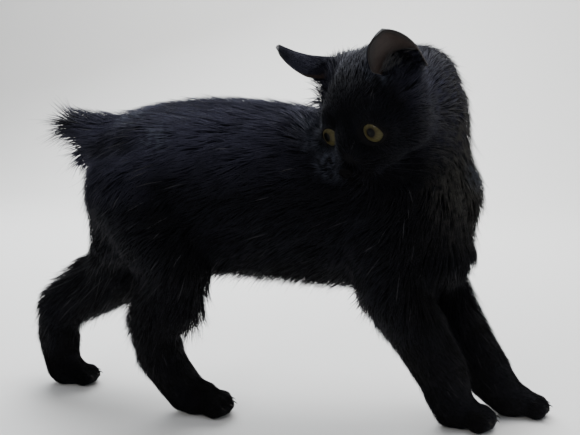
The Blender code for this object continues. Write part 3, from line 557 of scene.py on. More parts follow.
def add_limb(bm, points, radii):
    """A chain of balls joined by cones."""
    points = [Vector(p) for p in points]
    for point, radius in zip(points, radii):
        add_ball(bm, point, (radius,) * 3)
    for start, end, r1, r2 in zip(points, points[1:], radii, radii[1:]):
        along = end - start
        place = Matrix.Translation((start + end) / 2) @ along.to_track_quat("Z", "Y").to_matrix().to_4x4()
        add_shape(bm, bmesh.ops.create_cone, cap_ends=True, segments=36, radius1=r1, radius2=r2,
                  depth=along.length, matrix=place)


def add_barrel(bm, stations, sides=48):
    """A loft through upright ellipses, each given as x, middle height, half height, half width."""
    rings = []
    for x, mid, half_height, half_width in stations:
        ring = []
        for k in range(sides):
            a = 2 * math.pi * k / sides
            ring.append(bm.verts.new((x, half_width * math.cos(a), mid + half_height * math.sin(a))))
        rings.append(ring)
    add_strips(bm, rings, closed=True)
    bm.faces.new(rings[0][::-1])
    bm.faces.new(rings[-1])


def smooth_stations(stations, count):
    """More stations, on a smooth curve through the named ones."""
    made = []
    last = len(stations) - 1
    for i in range(count):
        t = last * i / (count - 1)
        k = min(int(t), last - 1)
        f = t - k
        p = [stations[max(0, min(last, k + j))] for j in (-1, 0, 1, 2)]
        row = []
        for a, b, c, d in zip(*p):
            curve = (2 * a - 5 * b + 4 * c - d) * f**2 + (3 * b - a - 3 * c + d) * f**3
            row.append(0.5 * (2 * b + (c - a) * f + curve))
        made.append(tuple(row))
    return made


# Rings of the trunk: place along it, height above its middle, and shares of its height and width
STATIONS = (
    (RUMP_X + 0.004, -0.001, 0.45, 0.48), (RUMP_X + 0.02, -0.001, 0.82, 0.84), (-0.072, 0.0, 0.95, 0.97),
    (-0.04, 0.001, 1.0, 1.0), (-0.005, -0.001, 1.0, 1.02), (0.028, -0.005, 0.97, 0.99),
    (0.058, -0.01, 0.91, 0.93), (0.08, -0.012, 0.7, 0.74), (CHEST_X - 0.004, -0.012, 0.36, 0.42),
)
STATION_COUNT = 44
# Balls, each a centre and radii: the breast, the rump and the fur low on it
TORSO_BALLS = (
    ((0.068, 0.0, 0.118), (0.0325, 0.029, 0.034)), ((0.074, 0.0, 0.09), (0.024, 0.025, 0.022)),
    ((-0.087, 0.0, 0.112), (0.0245, 0.031, 0.036)), ((-0.093, 0.012, 0.092), (0.015, 0.016, 0.015)),
    ((-0.093, -0.012, 0.092), (0.015, 0.016, 0.015)),
)


def torso_forms(bm):
    """Rump, loin, ribs, shoulders and breast, then the masses that round them."""
    mid, half = (BACK_Z + BELLY_Z) / 2, (BACK_Z - BELLY_Z) / 2
    stations = [(x, mid + rise, tall * half, wide * BARREL_HALF_WIDTH) for x, rise, tall, wide in STATIONS]
    add_barrel(bm, smooth_stations(stations, STATION_COUNT))
    for centre, radii in TORSO_BALLS:
        add_ball(bm, centre, radii)


# Feet: the middle of each paw on the floor, its heading in degrees from +X, and its size
PAWS = {
    "hind_right": ((-0.044, -0.016), -4.0, 1.0),
    "hind_left": ((-0.133, 0.017), 8.0, 0.9),
    "fore_right": ((0.093, -0.011), -8.0, 1.0),
    "fore_left": ((0.122, 0.011), 6.0, 0.98),
}
PAW_LENGTH, PAW_WIDTH, PAW_HEIGHT = 0.034, 0.021, 0.0185
# In lengths, widths and heights of the paw
PAD_MIDDLE, PAD_RADII = (-0.12, 0.0, 0.47), (0.38, 0.5, 0.54)
TOE_AHEAD, TOE_CURVE, TOE_SIDE, TOE_LEVEL, TOE_RADII = 0.3, 0.09, 0.36, 0.3, (0.21, 0.165, 0.33)
TOES, TOE_FAN = 4, 7.0


def paw_sized(paw, shares):
    """Shares of the paw's length, width and height, in metres."""
    size = PAWS[paw][2]
    return [share * (side * size) for share, side in zip(shares, (PAW_LENGTH, PAW_WIDTH, PAW_HEIGHT))]


def on_paw(paw, place):
    """A place in the paw's own frame, in the object's."""
    (x, y), heading, _ = PAWS[paw]
    return Vector((x, y, 0.0)) + Matrix.Rotation(math.radians(heading), 3, "Z") @ Vector(place)


def toe_places(paw):
    """The middle, the heading and the size of each toe of a paw."""
    _, heading, size = PAWS[paw]
    middle = (TOES - 1) / 2
    for k in range(TOES):
        across = (k - middle) / middle
        reach = TOE_AHEAD - TOE_CURVE * across**2
        place = Vector((reach * PAW_LENGTH, TOE_SIDE * PAW_WIDTH * across, TOE_LEVEL * PAW_HEIGHT))
        yield on_paw(paw, place * size), heading + TOE_FAN * across, size


def paw_forms(bm, paw):
    """A rounded pad with four toes, the middle two reaching furthest."""
    turn = (0.0, 0.0, PAWS[paw][1])
    add_ball(bm, on_paw(paw, paw_sized(paw, PAD_MIDDLE)), paw_sized(paw, PAD_RADII), turn)
    for toe, way, _ in toe_places(paw):
        add_ball(bm, toe, paw_sized(paw, TOE_RADII), (0.0, 0.0, way))


def paw_point(paw, along, up):
    """A point above the paw, along its heading."""
    (x, y), heading, _ = PAWS[paw]
    a = math.radians(heading)
    return Vector((x + along * math.cos(a), y + along * math.sin(a), up))


HOCK = {"right": Vector((-0.0715, -0.019, 0.05)), "left": Vector((-0.142, 0.02, 0.0465))}
KNEE = {"right": Vector((-0.053, -0.023, 0.08)), "left": Vector((-0.098, 0.022, 0.072))}
WRIST = {"right": Vector((0.08, -0.013, 0.03)), "left": Vector((0.1012, 0.012, 0.029))}
ELBOW = {"right": Vector((0.054, -0.019, 0.076)), "left": Vector((0.075, 0.018, 0.078))}

# Chains of balls, given as points and radii. The neck bends back towards the right. The tail is a
# stump with thick fur below it. The far hind leg stretches out behind, and both forelegs reach
# forwards, the far one a little further.
LIMBS = (
    (((0.064, 0.0, 0.12), (0.068, 0.0, 0.142), (0.0665, -0.001, 0.16), (0.0645, -0.004, 0.172)),
     (0.0325, 0.0262, 0.0262, 0.0235)),
    (((-0.09, 0.0, 0.14), (-0.102, 0.0, 0.1465), (-0.119, 0.0, 0.1538)), (0.021, 0.0148, 0.0092)),
    (((-0.096, 0.0, 0.134), (-0.1075, 0.0, 0.14)), (0.014, 0.0112)),
    (((-0.08, -0.016, 0.12), (-0.064, -0.0215, 0.096), KNEE["right"]), (0.027, 0.023, 0.018)),
    ((KNEE["right"], (-0.064, -0.0205, 0.063), HOCK["right"]), (0.018, 0.0158, 0.0128)),
    (((-0.056, -0.022, 0.076), (-0.0545, -0.0205, 0.06)), (0.016, 0.0138)),
    ((HOCK["right"], (-0.065, -0.018, 0.028), paw_point("hind_right", -0.01, 0.0105)),
     (0.0128, 0.0122, 0.0108)),
    (((-0.088, 0.016, 0.118), (-0.094, 0.0215, 0.096), KNEE["left"]), (0.027, 0.024, 0.0215)),
    ((KNEE["left"], (-0.119, 0.021, 0.0605), HOCK["left"]), (0.0215, 0.018, 0.0132)),
    ((HOCK["left"], (-0.143, 0.019, 0.026), paw_point("hind_left", -0.007, 0.01)), (0.0128, 0.0118, 0.01)),
    (((0.052, -0.017, 0.118), (0.052, -0.02, 0.096), ELBOW["right"]), (0.023, 0.0215, 0.0185)),
    ((ELBOW["right"], (0.0675, -0.015, 0.052), WRIST["right"], paw_point("fore_right", -0.006, 0.01)),
     (0.0185, 0.0155, 0.0138, 0.0112)),
    (((0.06, 0.017, 0.118), (0.07, 0.019, 0.098), ELBOW["left"]), (0.023, 0.021, 0.017)),
    ((ELBOW["left"], (0.0865, 0.0145, 0.053), WRIST["left"], (0.1075, 0.0115, 0.0185),
      paw_point("fore_left", -0.006, 0.01)), (0.017, 0.0148, 0.0134, 0.0125, 0.0102)),
)


# The head's balls, each a centre and radii: in the middle, on both sides, and under each ear
HEAD_BALLS = (
    ((-0.003, 0.0, 0.003), (0.028, 0.0275, 0.0255)), ((0.008, 0.0, 0.003), (0.019, 0.024, 0.02)),
    ((0.024, 0.0, -0.015), (0.0135, 0.013, 0.0095)), ((0.027, 0.0, -0.0235), (0.0085, 0.007, 0.0055)),
    ((0.01, 0.0, -0.015), (0.019, 0.018, 0.0125)),
)
HEAD_PAIRS = (
    ((0.004, 0.015, -0.008), (0.017, 0.0145, 0.016)), ((0.017, 0.0105, -0.013), (0.0135, 0.0105, 0.01)),
    ((0.0295, 0.005, -0.0175), (0.01, 0.0075, 0.0065)), ((0.0135, 0.012, 0.003), (0.012, 0.0105, 0.009)),
    (EYE_CENTRE, (EYE_RADIUS + LID_THICKNESS,) * 3),
)
EAR_BASES = (((-0.004, 0.0145, 0.015), (0.013, 0.012, 0.012)), ((0.001, 0.022, 0.008), (0.014, 0.009, 0.012)))
MUZZLE_CHAIN = ((0.012, 0.0, 0.001), (0.024, 0.0, -0.006), (0.0335, 0.0, -0.0125)), (0.0145, 0.0095, 0.0055)


def head_forms(bm):
    """Round skull, full cheeks, short muzzle and small chin, in the head's frame."""
    for centre, radii in HEAD_BALLS:
        add_ball(bm, centre, radii)
    add_limb(bm, *MUZZLE_CHAIN)
    for side in (1, -1):
        rise = Vector((0.0, 0.0, EAR_RAISE[side]))
        for centre, radii in HEAD_PAIRS:
            add_ball(bm, mirrored(centre, side), radii)
        for centre, radii in EAR_BASES:
            add_ball(bm, mirrored(centre, side) + rise, radii)


# Where the surface is made finer, pass by pass: how far over the face and how far about each eye
FINE_PASSES = ((0.046, 0.0285), (0.0, 0.010925))
FACE_FROM = 0.006
SMOOTHED_FROM, SMOOTHED_REACH = 0.004, 0.048


def fused_forms():
    """The outline of the coat: every form fused into one smooth surface."""
    bm = bmesh.new()
    head_forms(bm)
    bm.transform(HEAD_PLACE)
    torso_forms(bm)
    for points, radii in LIMBS:
        add_limb(bm, points, radii)
    for paw in PAWS:
        paw_forms(bm, paw)
    bmesh.ops.recalc_face_normals(bm, faces=bm.faces)
    obj = object_from(bm, "outline")
    remesh = obj.modifiers.new("skin", "REMESH")
    remesh.mode = "VOXEL"
    remesh.voxel_size = VOXEL
    smooth = obj.modifiers.new("soften", "SMOOTH")
    smooth.factor = SMOOTH_FACTOR
    smooth.iterations = SMOOTH_ROUNDS
    return settle(obj)


def outline_mesh():
    """The outline of the coat, with a finer mesh on the face and finest about the eyes."""
    obj = fused_forms()
    bm = bmesh.new()
    bm.from_mesh(obj.data)
    bmesh.ops.triangulate(bm, faces=bm.faces)
    to_head = HEAD_PLACE.inverted()
    for face_reach, eye_reach in FINE_PASSES:
        near = []
        for edge in bm.edges:
            p = to_head @ ((edge.verts[0].co + edge.verts[1].co) / 2)
            eye = Vector((p.x, abs(p.y), p.z)) - EYE_CENTRE
            if (p.x > FACE_FROM and p.length < face_reach) or eye.length < eye_reach:
                near.append(edge)
        bmesh.ops.subdivide_edges(bm, edges=near, cuts=1, use_grid_fill=True)
        bmesh.ops.triangulate(bm, faces=[f for f in bm.faces if len(f.verts) > 3])
        close = []
        for vertex in bm.verts:
            p = to_head @ vertex.co
            if p.x > SMOOTHED_FROM and p.length < SMOOTHED_REACH:
                close.append(vertex)
        for _ in range(FACE_SMOOTH_ROUNDS):
            bmesh.ops.smooth_vert(
                bm, verts=close, factor=SMOOTH_FACTOR, use_axis_x=True, use_axis_y=True, use_axis_z=True)
    mesh = bpy.data.meshes.new("outline")
    bm.to_mesh(mesh)
    bm.free()
    bpy.data.objects.remove(obj, do_unlink=True)
    return mesh


# The lie of the coat: along each flow the hairs run one way, at one length

Flow = namedtuple("Flow", "part start end reach lie length depth width stand")


# Part, start, end, reach, lie, length, depth, width and stand-off
BODY_FLOWS = (
    ("back", (0.06, 0, 0.16), (-0.09, 0, 0.16), 0.03, (-1, 0, -0.06), 0.015, 0.0046, 5.4, 0.14),
    ("belly", (0.055, 0, 0.08), (-0.06, 0, 0.082), 0.026, (-1, 0, -0.55), 0.015, 0.0046, 5.6, 0.58),
    ("breast", (0.09, 0, 0.14), (0.086, 0, 0.085), 0.028, (-0.05, 0, -1), 0.016, 0.0052, 5.6, 0.26),
    ("neck", (0.072, -0.002, 0.19), (0.07, 0, 0.142), 0.028, (0.34, -0.18, -1), 0.015, 0.0052, 5.6, 0.16),
    ("rump", (-0.106, 0, 0.12), (-0.104, 0, 0.108), 0.018, (-0.5, 0, -1), 0.015, 0.0056, 5.4, 0.26),
    ("rump", (-0.104, 0, 0.096), (-0.1, 0, 0.082), 0.016, (-0.8, 0, -1), 0.021, 0.0056, 5.0, 0.6),
    ("tail", (-0.098, 0, 0.158), (-0.12, 0, 0.158), 0.013, (-1, 0, 0.2), 0.023, 0.005, 5.2, 0.6),
    ("tail", (-0.106, 0, 0.148), (-0.126, 0, 0.151), 0.013, (-1, 0, -0.02), 0.02, 0.005, 5.2, 0.74),
    ("tail", (-0.112, 0, 0.137), (-0.118, 0, 0.14), 0.012, (-1, 0, -0.5), 0.019, 0.005, 5.2, 0.74),
    ("tail", (-0.108, 0, 0.128), (-0.106, 0, 0.122), 0.011, (-0.8, 0, -1), 0.015, 0.005, 4.8, 0.55),
)


def flows():
    """Every stretch of the body: where it runs, which way its hairs lie, and their length,
    the depth of the coat there, the width of a tuft and how far it stands off."""
    made = [Flow(*row) for row in BODY_FLOWS]
    for side, name in ((-1, "right"), (1, "left")):
        near = side < 0
        elbow, wrist, knee, hock = (joint[name] for joint in (ELBOW, WRIST, KNEE, HOCK))
        toe = paw_point("fore_" + name, 0.01, 0.006)
        heel, tip = paw_point("hind_" + name, -0.01, 0.012), paw_point("hind_" + name, 0.01, 0.006)
        hip = Vector((-0.078 if near else -0.09, side * 0.03, 0.128))
        blade = Vector((0.055 if near else 0.064, side * 0.03, 0.128))
        flank = (side * 0.036, 0.118)
        made += [Flow(*row) for row in (
            ("flank", (0.045, *flank), (-0.055, *flank), 0.03, (-1, 0, -0.42), 0.015, 0.005, 5.6, 0.12),
            ("shoulder", blade, elbow, 0.022, (-0.38, 0, -1), 0.0125, 0.0044, 5.4, 0.14),
            ("forearm", elbow.lerp(wrist, 0.2), wrist, 0.016, wrist - elbow, 0.0085, 0.0028, 4.8, 0.14),
            ("forepaw", wrist, toe, 0.013, toe - wrist + Vector((0.02, 0, 0)), 0.0042, 0.0011, 3.8, 0.06),
            ("haunch", hip, hip.lerp(knee, 0.8), 0.026, (-0.6, 0, -1), 0.015, 0.005, 5.6, 0.16),
            ("shank", knee, hock, 0.017, hock - knee + Vector((0, 0, -0.018)), 0.0155, 0.0034, 5.0, 0.5),
            ("metatarsus", hock, heel, 0.014, heel - hock, 0.0056, 0.0017, 4.2, 0.12),
            ("hindpaw", heel, tip, 0.013, tip - heel, 0.0042, 0.0011, 3.8, 0.06),
        )]
    return made


FLOWS = flows()
FLOW_FALL, FLOW_FLOOR = 2.2, 1e-7

# The head's coat, in the head's frame. Distances are from the muzzle; the hair spreads from the whorl
MUZZLE, WHORL = np.array((0.034, 0.0, -0.013)), np.array((0.036, 0.0, -0.011))
HEAD_REACHES = (0.004, 0.014, 0.026, 0.042, 0.06)
HEAD_LENGTHS = (0.0016, 0.003, 0.0046, 0.008, 0.012)
HEAD_DEPTHS = (0.0003, 0.0006, 0.001, 0.0024, 0.004)
HEAD_WIDTHS = (2.4, 3.0, 3.6, 4.4, 5.4)
HEAD_STAND = 0.1
SKULL_SCALE, SKULL_EDGE = np.array((0.92, 1.0, 1.0)), (0.025, 0.044)
BACKWARDS, CHEEK_WAY = np.array((-0.55, 0.0, 0.0)), np.array((-0.15, 0.0, -0.55))
CHEEK_SIDE, CHEEK_DROP = (0.01, 0.024), (-0.006, 0.01)
# Two tufts of longer hair: place, size, turn, direction, and what they add to the coat's length,
# depth, width and stand-off. The left temple has little of its tuft.
TEMPLE, TEMPLE_SIZE, TEMPLE_TURN = np.array((0.012, 0.0225, 0.006)), 0.0085, 1.6
TEMPLE_WAY, TEMPLE_HAIR = (0.0, 1.0, -0.4), np.array((0.012, 0.0, 1.2, 0.66))
LEFT_TEMPLE_SHARE = 0.3
EAR_FRONT, EAR_FRONT_SIZE, EAR_FRONT_TURN = np.array((0.0125, 0.017, 0.018)), 0.0075, 2.0
EAR_FRONT_WAY, EAR_FRONT_HAIR = (-0.69, 0.35, 0.77), np.array((0.011, 0.001, 0.0, 0.42))
# About the eyes the hair turns away from them, and is shorter and flatter
EYE_TURN, EYE_TURN_SCALE, EYE_TURN_REACH = 2.4, np.array((0.4, 1.0, 1.0)), (0.0095, 0.015)
EYE_THINNED, EYE_THINNED_REACH = np.array((0.35, 0.5, 0.0, 0.0)), (0.0105, 0.015)
TUFT_WIDTH_UNIT = 0.0001


def distance_to(points, start, end):
    """How far each point is from a segment."""
    start, end = np.array(start, float), np.array(end, float)
    along = end - start
    t = np.clip((points - start) @ along / (along @ along), 0.0, 1.0)
    return np.linalg.norm(points - start - t[:, None] * along, axis=1)


def head_points(points):
    """The points in the head's own frame."""
    turn = np.array(HEAD_PLACE.to_3x3())
    return (points - np.array(HEAD_CENTRE)) @ turn


def tuft_share(own, place, size):
    """1 at the place and its mirror image, less further off."""
    folded = own * np.column_stack([np.ones(len(own)), np.sign(own[:, 1]), np.ones(len(own))])
    return np.exp(-((sizes_of(folded - place) / size) ** 2))


def both_ways(own, way):
    """One direction for every point, mirrored between the sides."""
    x, y, z = way
    return np.column_stack([np.full(len(own), x), y * np.sign(own[:, 1]), np.full(len(own), z)])


def head_coat(own):
    """The lie of the head's coat, and its length, depth, width and stand-off, in the head's frame."""
    reach = sizes_of(own - MUZZLE)
    temple = tuft_share(own, TEMPLE, TEMPLE_SIZE)
    temple *= np.where(own[:, 1] < 0, 1.0, LEFT_TEMPLE_SHARE)
    ear_front = tuft_share(own, EAR_FRONT, EAR_FRONT_SIZE)
    cheek = step(np.abs(own[:, 1]), *CHEEK_SIDE) * step(-own[:, 2], *CHEEK_DROP)
    away = unit(own - WHORL) + BACKWARDS
    away += cheek[:, None] * CHEEK_WAY
    away += TEMPLE_TURN * temple[:, None] * both_ways(own, TEMPLE_WAY)
    away += EAR_FRONT_TURN * ear_front[:, None] * both_ways(own, EAR_FRONT_WAY)
    sums = np.stack(
        [np.interp(reach, HEAD_REACHES, row) for row in (HEAD_LENGTHS, HEAD_DEPTHS, HEAD_WIDTHS)]
        + [np.full(len(own), HEAD_STAND)], axis=1)
    sums += temple[:, None] * TEMPLE_HAIR + ear_front[:, None] * EAR_FRONT_HAIR
    closest = np.full(len(own), np.inf)
    for side in (1, -1):
        off = own - np.array(mirrored(EYE_CENTRE, side))
        closest = np.minimum(closest, sizes_of(off))
        near = 1.0 - step(sizes_of(off), *EYE_TURN_REACH)
        away += near[:, None] * unit(off * EYE_TURN_SCALE) * EYE_TURN
    around_eye = 1.0 - step(closest, *EYE_THINNED_REACH)
    sums *= 1.0 - around_eye[:, None] * EYE_THINNED
    return away, sums


def coat_fields(points, normals):
    """For each point: the way the coat lies, its length, depth, width and stand-off, and the nearest
    flow."""
    lie = np.zeros_like(points)
    sums = np.zeros((len(points), 4))
    total = np.full(len(points), 1e-9)
    best = np.zeros(len(points))
    part = np.zeros(len(points), int)
    for k, flow in enumerate(FLOWS):
        off = distance_to(points, flow.start, flow.end) / flow.reach
        weight = np.exp(-(off ** 2) * FLOW_FALL) + FLOW_FLOOR
        lie += weight[:, None] * np.array(Vector(flow.lie).normalized())
        sums += weight[:, None] * np.array([flow.length, flow.depth, flow.width, flow.stand])
        total += weight
        part = np.where(weight > best, k, part)
        best = np.maximum(best, weight)
    lie /= total[:, None]
    sums /= total[:, None]
    own = head_points(points)
    away, own_sums = head_coat(own)
    own_lie = away @ np.array(HEAD_PLACE.to_3x3()).T
    share = 1.0 - step(sizes_of(own * SKULL_SCALE), *SKULL_EDGE)
    lie = (1 - share)[:, None] * lie + share[:, None] * own_lie
    sums = (1 - share)[:, None] * sums + share[:, None] * own_sums
    lie -= (lie * normals).sum(1)[:, None] * normals
    part = np.where(share > 0.5, len(FLOWS), part)
    return unit(lie), sums, part


# Skin

LID_FRONT, LID_REACH, LID_EDGE = 0.0015, 0.0125, 1.02
UNDER_EYE, ALMOND_POWER = 0.001, 0.3
LID_RISE, LID_FALL, LID_FALL_OVER = 0.00075, 0.0006, (1.6, 2.4)
LIP_FRONT, LIP_SLOPE, LIP_FROM = 0.03, 0.6, 0.014
GROOVE_BACK, GROOVE_IN = 0.8, 0.4
GROOVE_DEPTH, GROOVE_WIDTH, GROOVE_FLATTENING = 0.0007, 0.0006, np.array((0.25, 1.0, 1.0))
SOLE_LEVEL = 0.0002


def eye_frame(side):
    """The eye's own frame: x the way it looks."""
    turn = turned((-side * EYE_SLANT, -EYE_LIFT, side * EYE_SPLAY))
    return HEAD_PLACE @ Matrix.Translation(mirrored(EYE_CENTRE, side)) @ turn


def in_eye_frame(points, side):
    return moved(points, eye_frame(side).inverted())


def aperture_share(own):
    """How far out a point in the eye's frame lies: 1 on the rim of the opening between the lids."""
    a = np.arctan2(own[:, 2] / APERTURE_HALF_HEIGHT, own[:, 1] / APERTURE_HALF_WIDTH)
    rim = almond_rim(a)
    return np.hypot(own[:, 1], own[:, 2]) / np.maximum(np.hypot(rim[:, 0], rim[:, 1]), 1e-9)


def almond_rim(angles):
    """The opening's outline: an almond with pointed corners."""
    tall = np.sin(angles) * np.abs(np.sin(angles)) ** ALMOND_POWER
    return np.stack([APERTURE_HALF_WIDTH * np.cos(angles), APERTURE_HALF_HEIGHT * tall], axis=1)


def skin_points(points, normals, depth):
    """The skin lies under the outline by the depth of the coat. It opens over the eyes, and
    has the groove of the mouth and the flats of the soles."""
    skin = points - normals * depth[:, None]
    for side in (1, -1):
        own = in_eye_frame(skin, side)
        far = sizes_of(own)
        share = aperture_share(own)
        close = (own[:, 0] > LID_FRONT) & (far < LID_REACH)
        inside, lid = close & (share < LID_EDGE), close & (share >= LID_EDGE)
        target = np.where(inside, EYE_RADIUS - UNDER_EYE, far)
        floor = EYE_RADIUS + LID_RISE - LID_FALL * step(share, *LID_FALL_OVER)
        target = np.where(lid, np.maximum(far, floor), target)
        own *= (target / np.maximum(far, 1e-9))[:, None]
        skin = np.where(close[:, None], moved(own, eye_frame(side)), skin)
    own = head_points(skin)
    for side in (1, -1):
        path = [np.array((LIP_FRONT - LIP_SLOPE * y, side * y, z)) for y, z in MOUTH_LINE]
        for start, end in zip(path, path[1:]):
            near = distance_to(
                own * GROOVE_FLATTENING, start * GROOVE_FLATTENING, end * GROOVE_FLATTENING)
            groove = GROOVE_DEPTH * np.exp(-((near / GROOVE_WIDTH) ** 2)) * (own[:, 0] > LIP_FROM)
            own[:, 0] -= groove * GROOVE_BACK
            own[:, 1] -= groove * GROOVE_IN * np.sign(own[:, 1])
    skin = moved(own, HEAD_PLACE)
    skin[:, 2] = np.maximum(skin[:, 2], SOLE_LEVEL)
    return skin


FLESH = ("head", "neck", "torso", "tail") + tuple(
    f"{part}_{side}"
    for part in ("shoulder", "forearm", "forepaw", "thigh", "shank", "hindpaw")
    for side in ("left", "right")
)


class Hide:
    """A surface that tufts grow from, with the fields of its coat at every corner."""

    def __init__(self, points, faces, normals, lie, sums, part):
        self.points, self.faces, self.normals = points, faces, normals
        self.lie, self.sums, self.part = lie, sums, part
        self.tree = BVHTree.FromPolygons(points.tolist(), faces.tolist())

    def sample(self, layers):
        """Roots spread over the hide, denser where the tufts are small, in so many layers."""
        corners = self.points[self.faces]
        area = 0.5 * np.linalg.norm(
            np.cross(corners[:, 1] - corners[:, 0], corners[:, 2] - corners[:, 0]), axis=1)
        sums = self.sums[self.faces].mean(axis=1)
        cover = 0.5 * sums[:, 0] * sums[:, 2] * TUFT_WIDTH_UNIT
        wanted = layers * area / cover
        count = np.floor(wanted + DRAW.random(len(wanted))).astype(int)
        face = np.repeat(np.arange(len(count)), count)
        r = DRAW.random((len(face), 2))
        r = np.where(r.sum(1, keepdims=True) > 1, 1 - r, r)
        share = np.column_stack([1 - r.sum(1), r])
        rows = self.faces[face]

        def blended(values):
            return (values[rows] * share[..., None]).sum(1)

        part = self.part[rows[np.arange(len(rows)), share.argmax(1)]]
        return Tufts(
            root=blended(self.points), normal=unit(blended(self.normals)), lie=unit(blended(self.lie)),
            sums=blended(self.sums), part=part)


class Tufts:
    """Arrays that describe many tufts, one row each."""

    def __init__(self, root, normal, lie, sums, part, pale=None):
        self.root, self.normal, self.lie, self.sums, self.part = root, normal, lie, sums, part
        self.pale = np.zeros(len(root)) if pale is None else pale

    def chosen(self, rows):
        return Tufts(**{key: value[rows] for key, value in vars(self).items()})

    def __len__(self):
        return len(self.root)


# How far along a tuft its rings lie, and how wide they are, for free tufts and for lying ones
RINGS, RING_WIDTHS = (0.0, 0.34, 0.7, 1.0), (0.8, 1.0, 0.62)
SHORT_RINGS, SHORT_WIDTHS = (0.0, 0.45, 1.0), (0.85, 0.9)
TUFT_FLATNESS, WIDTH_SPREAD = 0.55, 0.3
FREE_STAND, FREE_LIFT = 0.24, 0.25
CLUMP_SIZE, CLUMP_PULL, CLUMP_CURVE, CLUMP_LENGTH = 0.0032, 0.34, 1.6, 0.014
TILT, TILT_LIFT, SWAY, SAG = 0.11, 0.5, 0.1, 0.1
DRIFT_SIZE, DRIFT_TURN, DRIFT_WAVES, DRIFT_TOTAL = 0.017, 0.3, 4, 2.6
LENGTH_WAVE, DEPTH_WAVE = 0.7, 0.5
LENGTH_SPREAD, LENGTH_DRIFT, UNEVEN, UNEVEN_UP_TO = (-0.28, 0.22), 0.12, 0.6, 0.8
DEPTH_SPREAD, DEPTH_DRIFT, DEPTH_CURVE = (-0.35, 0.15), 0.22, 1.7
ROOT_SINK, LOWEST_TUFT = 0.0004, 0.0003
PATCH_SPREAD = 0.0015


def drift(points, size):
    """A value from about -1 to 1 that changes slowly over the body."""
    total = np.zeros(len(points))
    for _ in range(DRIFT_WAVES):
        way = unit(DRAW.normal(size=3)) * 2 * math.pi / size
        total += np.sin(points @ way + DRAW.uniform(0, 2 * math.pi))
    return total / DRIFT_TOTAL


def clumped(roots, size):
    """The index of the clump that each root belongs to: the nearest of a thin random choice of roots."""
    cells = np.floor(roots / size).astype(np.int64)
    _, first = np.unique(cells, axis=0, return_index=True)
    tree = KDTree(len(first))
    for k, index in enumerate(first):
        tree.insert(roots[index], k)
    tree.balance()
    nearest = np.array([tree.find(p)[1] for p in roots.tolist()])
    return first, nearest


def draw_together(spots, tufts, rings):
    """Bends the tips of one clump towards each other, those of long tufts the most."""
    chosen, own = clumped(tufts.root, CLUMP_SIZE)
    centre = spots[chosen][own]
    pull = np.clip(tufts.sums[:, 0] / CLUMP_LENGTH, 0.0, 1.0) * (1.0 - tufts.pale)
    for k, t in enumerate(rings):
        share = (CLUMP_PULL * pull * t**CLUMP_CURVE)[:, None]
        spots[:, k] = spots[:, k] * (1 - share) + centre[:, k] * share


def tuft_paths(tufts, tree, rings):
    """Points and outward directions along each tuft: over the skin, rising to the outline, and
    leaving it where the coat stands off."""
    count = len(tufts)
    length, depth, _, stand = tufts.sums.T
    across = np.cross(tufts.lie, tufts.normal)
    noise = DRAW.normal(0.0, TILT, (count, 2))
    noise[:, 0] += DRIFT_TURN * drift(tufts.root, DRIFT_SIZE)
    way = unit(tufts.lie + across * noise[:, :1] + tufts.normal * np.abs(noise[:, 1:]) * TILT_LIFT)
    uneven = 1.0 + UNEVEN * np.clip(stand, 0.0, UNEVEN_UP_TO)
    size = length * (1.0 + uneven * DRAW.uniform(*LENGTH_SPREAD, count)
                     + LENGTH_DRIFT * drift(tufts.root, LENGTH_WAVE * DRIFT_SIZE))
    rise = depth * (1.0 + DRAW.uniform(*DEPTH_SPREAD, count)
                    + DEPTH_DRIFT * drift(tufts.root, DEPTH_WAVE * DRIFT_SIZE))
    sway = DRAW.normal(0.0, SWAY, count) * size
    sag = SAG * np.array((0, 0, 1))
    spots, ups = [], []
    for t in rings:
        flat = tufts.root + way * (size * t)[:, None] + across * (sway * t * t)[:, None]
        spot, up = flat.copy(), tufts.normal.copy()
        if t > 0:
            for k, p in enumerate(flat.tolist()):
                found = tree.find_nearest(p)
                spot[k] = found[0]
                up[k] = found[1]
            up = unit(up + tufts.normal)
        height = rise * (1.0 - (1.0 - t) ** DEPTH_CURVE) - ROOT_SINK * (1.0 - t)
        lying = spot + up * height[:, None]
        free_way = unit(way + tufts.normal * (FREE_LIFT + stand)[:, None])
        free = tufts.root + free_way * (size * t)[:, None] - sag * (size * t * t)[:, None]
        share = (stand * t)[:, None]
        spots.append(lying * (1 - share) + free * share)
        ups.append(up)
    spots = np.stack(spots, 1)
    draw_together(spots, tufts, rings)
    spots[..., 2] = np.maximum(spots[..., 2], LOWEST_TUFT)
    return spots, np.stack(ups, 1)


EYE_COVER_FRONT, EYE_COVER_REACH, EYE_COVER_EDGE = 0.002, 0.016, 1.06


def clear_of_eyes(spots):
    """Which tufts cover neither eye."""
    good = np.ones(len(spots), bool)
    for side in (1, -1):
        for k in range(spots.shape[1]):
            own = in_eye_frame(spots[:, k], side)
            over = (own[:, 0] > EYE_COVER_FRONT) & (sizes_of(own) < EYE_COVER_REACH)
            good &= ~(over & (aperture_share(own) < EYE_COVER_EDGE))
    return good


def spike_corners(tufts, spots, ups, widths):
    """The corners of each tuft's spike: three on every ring and one at the tip."""
    width = tufts.sums[:, 2] * TUFT_WIDTH_UNIT
    width *= 1.0 + DRAW.uniform(-WIDTH_SPREAD, WIDTH_SPREAD, len(tufts))
    along = np.gradient(spots, axis=1)
    across = unit(np.cross(along, ups))
    out = unit(np.cross(across, along))
    layers = []
    for k, share in enumerate(widths):
        half = (0.5 * width * share)[:, None]
        layers += [spots[:, k] + across[:, k] * half, spots[:, k] + out[:, k] * half * TUFT_FLATNESS,
                   spots[:, k] - across[:, k] * half]
    layers.append(spots[:, -1])
    return np.stack(layers, 1)


